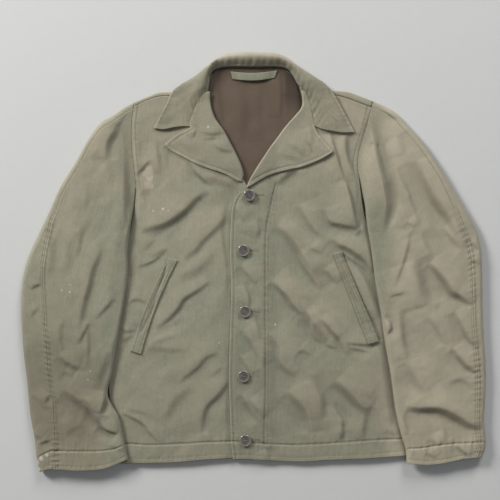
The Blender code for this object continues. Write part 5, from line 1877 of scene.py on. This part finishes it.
@dataclass
class Stitching:
    """Rows of stitches, each a small sunk thread."""

    maker: Maker
    ground: Ground
    pitch: float = 3.1
    stitch: float = 2.3
    radius: float = 0.34
    sides: int = 6
    rings: int = 4
    slit_half: float = 1.0
    slit_pitch: float = 1.3

    def row(self, line: Grid, pitch: float) -> bpy.types.Mesh:
        """Make the stitches along a plan line.

        Args:
            line: The line, in mm.
            pitch: From one stitch to the next.

        Returns:
            A mesh of them, since a bmesh that grows with each row gets slow.
        """
        total = steps_of(line, 0).sum()
        count = max(2, int(total / pitch))
        middles = (np.arange(count) + 0.5) / count
        half = self.stitch * pitch / self.pitch / 2 / total
        bm = bmesh.new()
        for head, tail in zip(along(line, middles - half), along(line, middles + half)):
            low, high = (Vector((*point, self.ground.height(*point))) for point in (head, tail))
            run = high - low
            if run.length > 2 * self.stitch:
                continue
            turn = run.to_track_quat("Z", "Y").to_matrix().to_4x4()
            size = Matrix.Diagonal((self.radius, self.radius, run.length / 2, 1))
            place = Matrix.Scale(MM, 4) @ Matrix.Translation((low + high) / 2) @ turn @ size
            bmesh.ops.create_uvsphere(bm, u_segments=self.sides, v_segments=self.rings, radius=1,
                                      matrix=place)
        return mesh_of(bm, "row")

    def gather(self, name: str, lines: Sequence[Grid], slot: str, pitch: float = 0.0) -> None:
        """Make several rows as one piece.

        Args:
            name: The piece's name.
            lines: The rows' plan lines.
            slot: The record's material slot.
            pitch: From one stitch to the next, or 0 for the usual pitch.
        """
        bm = bmesh.new()
        for line in lines:
            mesh = self.row(line, pitch or self.pitch)
            bm.from_mesh(mesh)
            bpy.data.meshes.remove(mesh)
        self.maker.add(name, mesh_of(bm, name), Yarn(), slot)

    def build(self, sleeves: Sequence[Sleeve]) -> None:
        """Sew all the rows that show."""
        hems = []
        for rows, low, high in ((HEM_LINE_RIGHT, -228, -42), (HEM_LINE_LEFT, -36, 252)):
            line = smooth_line(rows)
            hems.append(line[(line[:, 0] > low) & (line[:, 0] < high)])
        hems += [shifted(HEM_RIGHT[:-1], 0, HEM_FOOT)[6:], shifted(HEM_LEFT, 0, HEM_FOOT)[:-6]]
        self.gather("stitches_hem", hems, "shell")
        placket = [smooth_line(FACING_LINE), inset(FACING_LINE, FACING_TWIN)[9:-4],
                   inset(OVERLAP_LEFT, OVERLAP_STITCH)[4:]]
        self.gather("stitches_placket", placket, "shell")
        half = self.slit_half
        holes = [line[10:] + (0, way) for line in slit_lines() for way in (half, -half)]
        holes += [inset(rows, way) for rows in (LAPEL_SLIT, COLLAR_SLIT) for way in (half, -half)]
        self.gather("stitches_buttonholes", holes, "shell", self.slit_pitch)
        arms = [line for sleeve in sleeves for line in self.arm_rows(sleeve)]
        self.gather("stitches_sleeves", arms, "shell")
        lapels = [(LAPEL_HEM_RIGHT, EDGE_STITCH, slice(3, -8)), (LAPEL_HEM_LEFT, -EDGE_STITCH, slice(3, -8)),
                  (NOTCH_TO_TIP_RIGHT, EDGE_STITCH, slice(4, None)),
                  (NOTCH_TO_TIP_LEFT, -EDGE_STITCH, slice(4, None))]
        self.gather("stitches_lapels", [inset(rows, way)[part] for rows, way, part in lapels], "facing")
        self.gather("stitches_welts", [line for name in WELTS for line in self.welt_rows(name)], "shell")
        self.gather("stitches_loop", [np.array(row, float) for row in LOOP_ROWS], "facing")

    @staticmethod
    def arm_rows(sleeve: Sleeve) -> list[Grid]:
        """The rows of stitches on a sleeve's felled seam and cuff."""
        first = int(np.searchsorted(sleeve.down, sleeve.seam_shows + 0.04))
        rows = []
        for offset in (-FELLED_STITCH, FELLED_STITCH):
            flat = np.stack(sleeve.plan((sleeve.seam_at + offset)[:, None]), axis=-1)[:, 0]
            rows.append(flat[first:-3])
        return rows + [smooth_line(sleeve.cuff_line)[4:-4], shifted(sleeve.cuff, 0, CUFF_FOOT)[5:-5]]

    @staticmethod
    def welt_rows(name: str) -> list[Grid]:
        """The four rows of stitches round a welt."""
        ends = np.array(WELTS[name], float)
        rows = [bowed(name, share, np.linspace(0.02, 0.98, 30)) for share in (0.2, 0.8)]
        for share in (0.03, 0.97):
            start = ends[0] + (ends[3] - ends[0]) * share
            end = ends[1] + (ends[2] - ends[1]) * share
            rows.append(np.array([start + (end - start) * 0.15, start + (end - start) * 0.85]))
        return rows


@dataclass
class Buttons:
    """Five dished buttons with four holes, each sewn on through its holes."""

    maker: Maker
    ground: Ground
    radius: float = 10.0
    height: float = 3.6
    rim: float = 1.7
    dish: float = 1.0
    hole: float = 1.05
    hole_reach: float = 2.3
    steps: int = 48
    sharp: float = 0.9

    def blank(self) -> bpy.types.Mesh:
        """A turned button at the origin, in mm, with its four holes cut."""
        r, h = self.radius, self.height
        profile = ((0.0, h - self.dish - 0.2), (r - self.rim - 2.4, h - self.dish),
                   (r - self.rim - 0.9, h - 0.65), (r - self.rim, h - 0.12), (r - 1.1, h),
                   (r - 0.5, h - 0.15), (r - 0.1, h - 0.7), (r, h - 1.3), (r - 0.2, 1.0),
                   (r - 1.0, 0.3), (r - 1.9, 0.0), (0.0, 0.0))
        bm = bmesh.new()
        verts = [bm.verts.new((x, 0, z)) for x, z in profile]
        edges = [bm.edges.new(pair) for pair in zip(verts, verts[1:])]
        bmesh.ops.spin(bm, geom=verts + edges, cent=(0, 0, 0), axis=(0, 0, 1), angle=2 * np.pi,
                       steps=self.steps, use_merge=True, use_duplicate=False)
        bmesh.ops.remove_doubles(bm, verts=bm.verts[:], dist=0.001)
        bmesh.ops.recalc_face_normals(bm, faces=bm.faces[:])
        body = self.temporary("button_body", bm)
        bm = bmesh.new()
        for angle in np.radians((45, 135, 225, 315)):
            centre = (self.hole_reach * np.cos(angle), self.hole_reach * np.sin(angle), 2)
            bmesh.ops.create_cone(bm, cap_ends=True, segments=16, radius1=self.hole, radius2=self.hole,
                                  depth=8, matrix=Matrix.Translation(centre))
        cutter = self.temporary("button_holes", bm)
        cut = body.modifiers.new("holes", "BOOLEAN")
        cut.object = cutter
        cut.operation = "DIFFERENCE"
        graph = bpy.context.evaluated_depsgraph_get()
        mesh = bpy.data.meshes.new_from_object(body.evaluated_get(graph))
        for helper in (body, cutter):
            bpy.data.objects.remove(helper)
        return mesh

    def temporary(self, name: str, bm: bmesh.types.BMesh) -> bpy.types.Object:
        """A helper object from a bmesh."""
        helper = bpy.data.objects.new(name, mesh_of(bm, name))
        self.maker.collection.objects.link(helper)
        return helper

    def build(self) -> None:
        """Seat each button on the left front and sew it on."""
        blank = self.blank()
        for number, (x, y) in enumerate(BUTTON_CENTRES, start=1):
            name = f"button_{number}"
            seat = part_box(name)[0][2] / MM
            turn = Matrix.Rotation(np.radians(17 * number), 4, "Z")
            place = Matrix.Scale(MM, 4) @ Matrix.Translation((x, y, seat)) @ turn
            mesh = blank.copy()
            mesh.transform(place)
            away = [np.hypot(vert.co.x / MM - x, vert.co.y / MM - y) for vert in mesh.vertices]
            # Painted highlight on the rim, carried by the wear mark.
            rim = ease((np.array(away) - self.radius * 0.72) / (self.radius * 0.12))
            mesh.attributes.new("wear_and_painted_light", "FLOAT", "POINT").data.foreach_set("value", rim.astype(np.float32))
            self.maker.add(f"{name}_turned", mesh, Resin(), "button", [name])
            mesh.set_sharp_from_angle(angle=self.sharp)
            self.thread(number, place)
        bpy.data.meshes.remove(blank)

    def thread(self, number: int, place: Matrix) -> None:
        """The thread that crosses between the holes."""
        bm = bmesh.new()
        level = self.height - self.dish + 0.1
        for side in (-1, 1):
            for lane in (-0.35, 0.0, 0.35):
                spot = Matrix.Translation((0, side * self.hole_reach * 0.7 + lane, level))
                lie = Matrix.Rotation(np.pi / 2, 4, "Y") @ Matrix.Diagonal((0.32, 0.32, 2.1, 1))
                bmesh.ops.create_uvsphere(bm, u_segments=8, v_segments=8, radius=1, matrix=place @ spot @ lie)
        self.maker.add(f"button_thread_{number}", mesh_of(bm, "thread"), Yarn(), "button")


@dataclass
class Studio:
    """Floor, soft light and the camera straight above."""

    centre: tuple = (-0.006, 0.021)
    field_mm: float = 850.0
    distance: float = 1.5
    sensor: float = 36.0
    cloth_height: float = 0.010

    def build(self) -> None:
        """Set up the stage."""
        self.floor()
        self.camera()
        self.light("key_light", (-3.1, 2.5, 2.0), 1.2, 235.0, (1.0, 0.99, 0.965))
        self.light("window_light", (1.4, 3.6, 2.0), 1.6, 118.0, (0.98, 0.99, 1.0))
        self.light("fill_light", (1.3, -0.9, 2.2), 2.2, 5.0, (0.94, 0.97, 1.0))
        world = bpy.data.worlds.new("soft_room")
        world.use_nodes = True
        background = world.node_tree.nodes["Background"]
        background.inputs["Color"].default_value = (0.95, 0.97, 1.0, 1.0)
        background.inputs["Strength"].default_value = 0.22
        bpy.context.scene.world = world
        bpy.context.scene.view_settings.view_transform = "Standard"

    def floor(self) -> None:
        """A wide pale floor just below the cloth."""
        bm = bmesh.new()
        below = Matrix.Translation((0, 0, -0.0003))
        bmesh.ops.create_grid(bm, x_segments=8, y_segments=8, size=6, matrix=below)
        mesh = mesh_of(bm, "floor")
        mesh.materials.append(Paper().material())
        floor = bpy.data.objects.new("floor", mesh)
        bpy.context.scene.collection.objects.link(floor)
        floor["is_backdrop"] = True

    def camera(self) -> None:
        """A camera that looks straight down, with the photograph's frame."""
        data = bpy.data.cameras.new("camera")
        data.sensor_width = self.sensor
        data.lens = self.sensor * self.distance / (self.field_mm * MM)
        camera = bpy.data.objects.new("camera", data)
        camera.location = (*self.centre, self.distance + self.cloth_height)
        bpy.context.scene.collection.objects.link(camera)
        bpy.context.scene.camera = camera

    def light(self, name: str, place: Sequence[float], size: float, power: float,
              colour: Sequence[float]) -> None:
        """Add a soft square light that faces the jacket.

        Args:
            name: The light's name.
            place: Where it hangs, in metres.
            size: Its width in metres.
            power: Its power in watts.
            colour: Its colour.
        """
        data = bpy.data.lights.new(name, "AREA")
        data.size = size
        data.energy = power
        data.color = colour
        lamp = bpy.data.objects.new(name, data)
        lamp.location = place
        lamp.rotation_euler = (-Vector(place)).to_track_quat("-Z", "Y").to_euler()
        bpy.context.scene.collection.objects.link(lamp)


def corners(box: Sequence) -> list[list[float]]:
    """A box as plain numbers."""
    return [[float(value) for value in corner] for corner in box]


def main() -> None:
    """Build and dress the jacket, from the back up."""
    logging.basicConfig(level=logging.INFO, format="%(message)s")
    maker = Maker()
    body = Body(maker)
    panels = body.build()
    armhole_right = body.side_line(ARMHOLE_RIGHT, SIDE_RIGHT)[:body.armhole_steps + 1] - (SEAM_GAP, 0)
    armhole_left = body.side_line(ARMHOLE_LEFT, SIDE_LEFT)[:body.armhole_steps + 1] + (SEAM_GAP, 0)
    right = Sleeve(maker, "right", OUTER_RIGHT, INNER_RIGHT, armhole_right, CUFF_RIGHT, SEAM_RIGHT,
                   CUFF_LINE_RIGHT, Relief(FOLDS_SLEEVE_RIGHT, 1.35), 71)
    left = Sleeve(maker, "left", OUTER_LEFT, INNER_LEFT, armhole_left, CUFF_LEFT, SEAM_LEFT,
                  CUFF_LINE_LEFT, Relief(FOLDS_SLEEVE_LEFT, 1.6), 81)
    sleeves = right.build() + left.build()
    neck = Neck(maker, body).build()
    welts = Welts(maker, Ground(tree_of(panels[:2]))).build()
    cloth = Ground(tree_of(panels + sleeves + neck + welts))
    Buttons(maker, cloth).build()
    Stitching(maker, cloth).build([right, left])
    Studio().build()
    {"cad": corners(CAD_BOX), "visual": corners(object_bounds())}


if __name__ == "__main__":
    main()
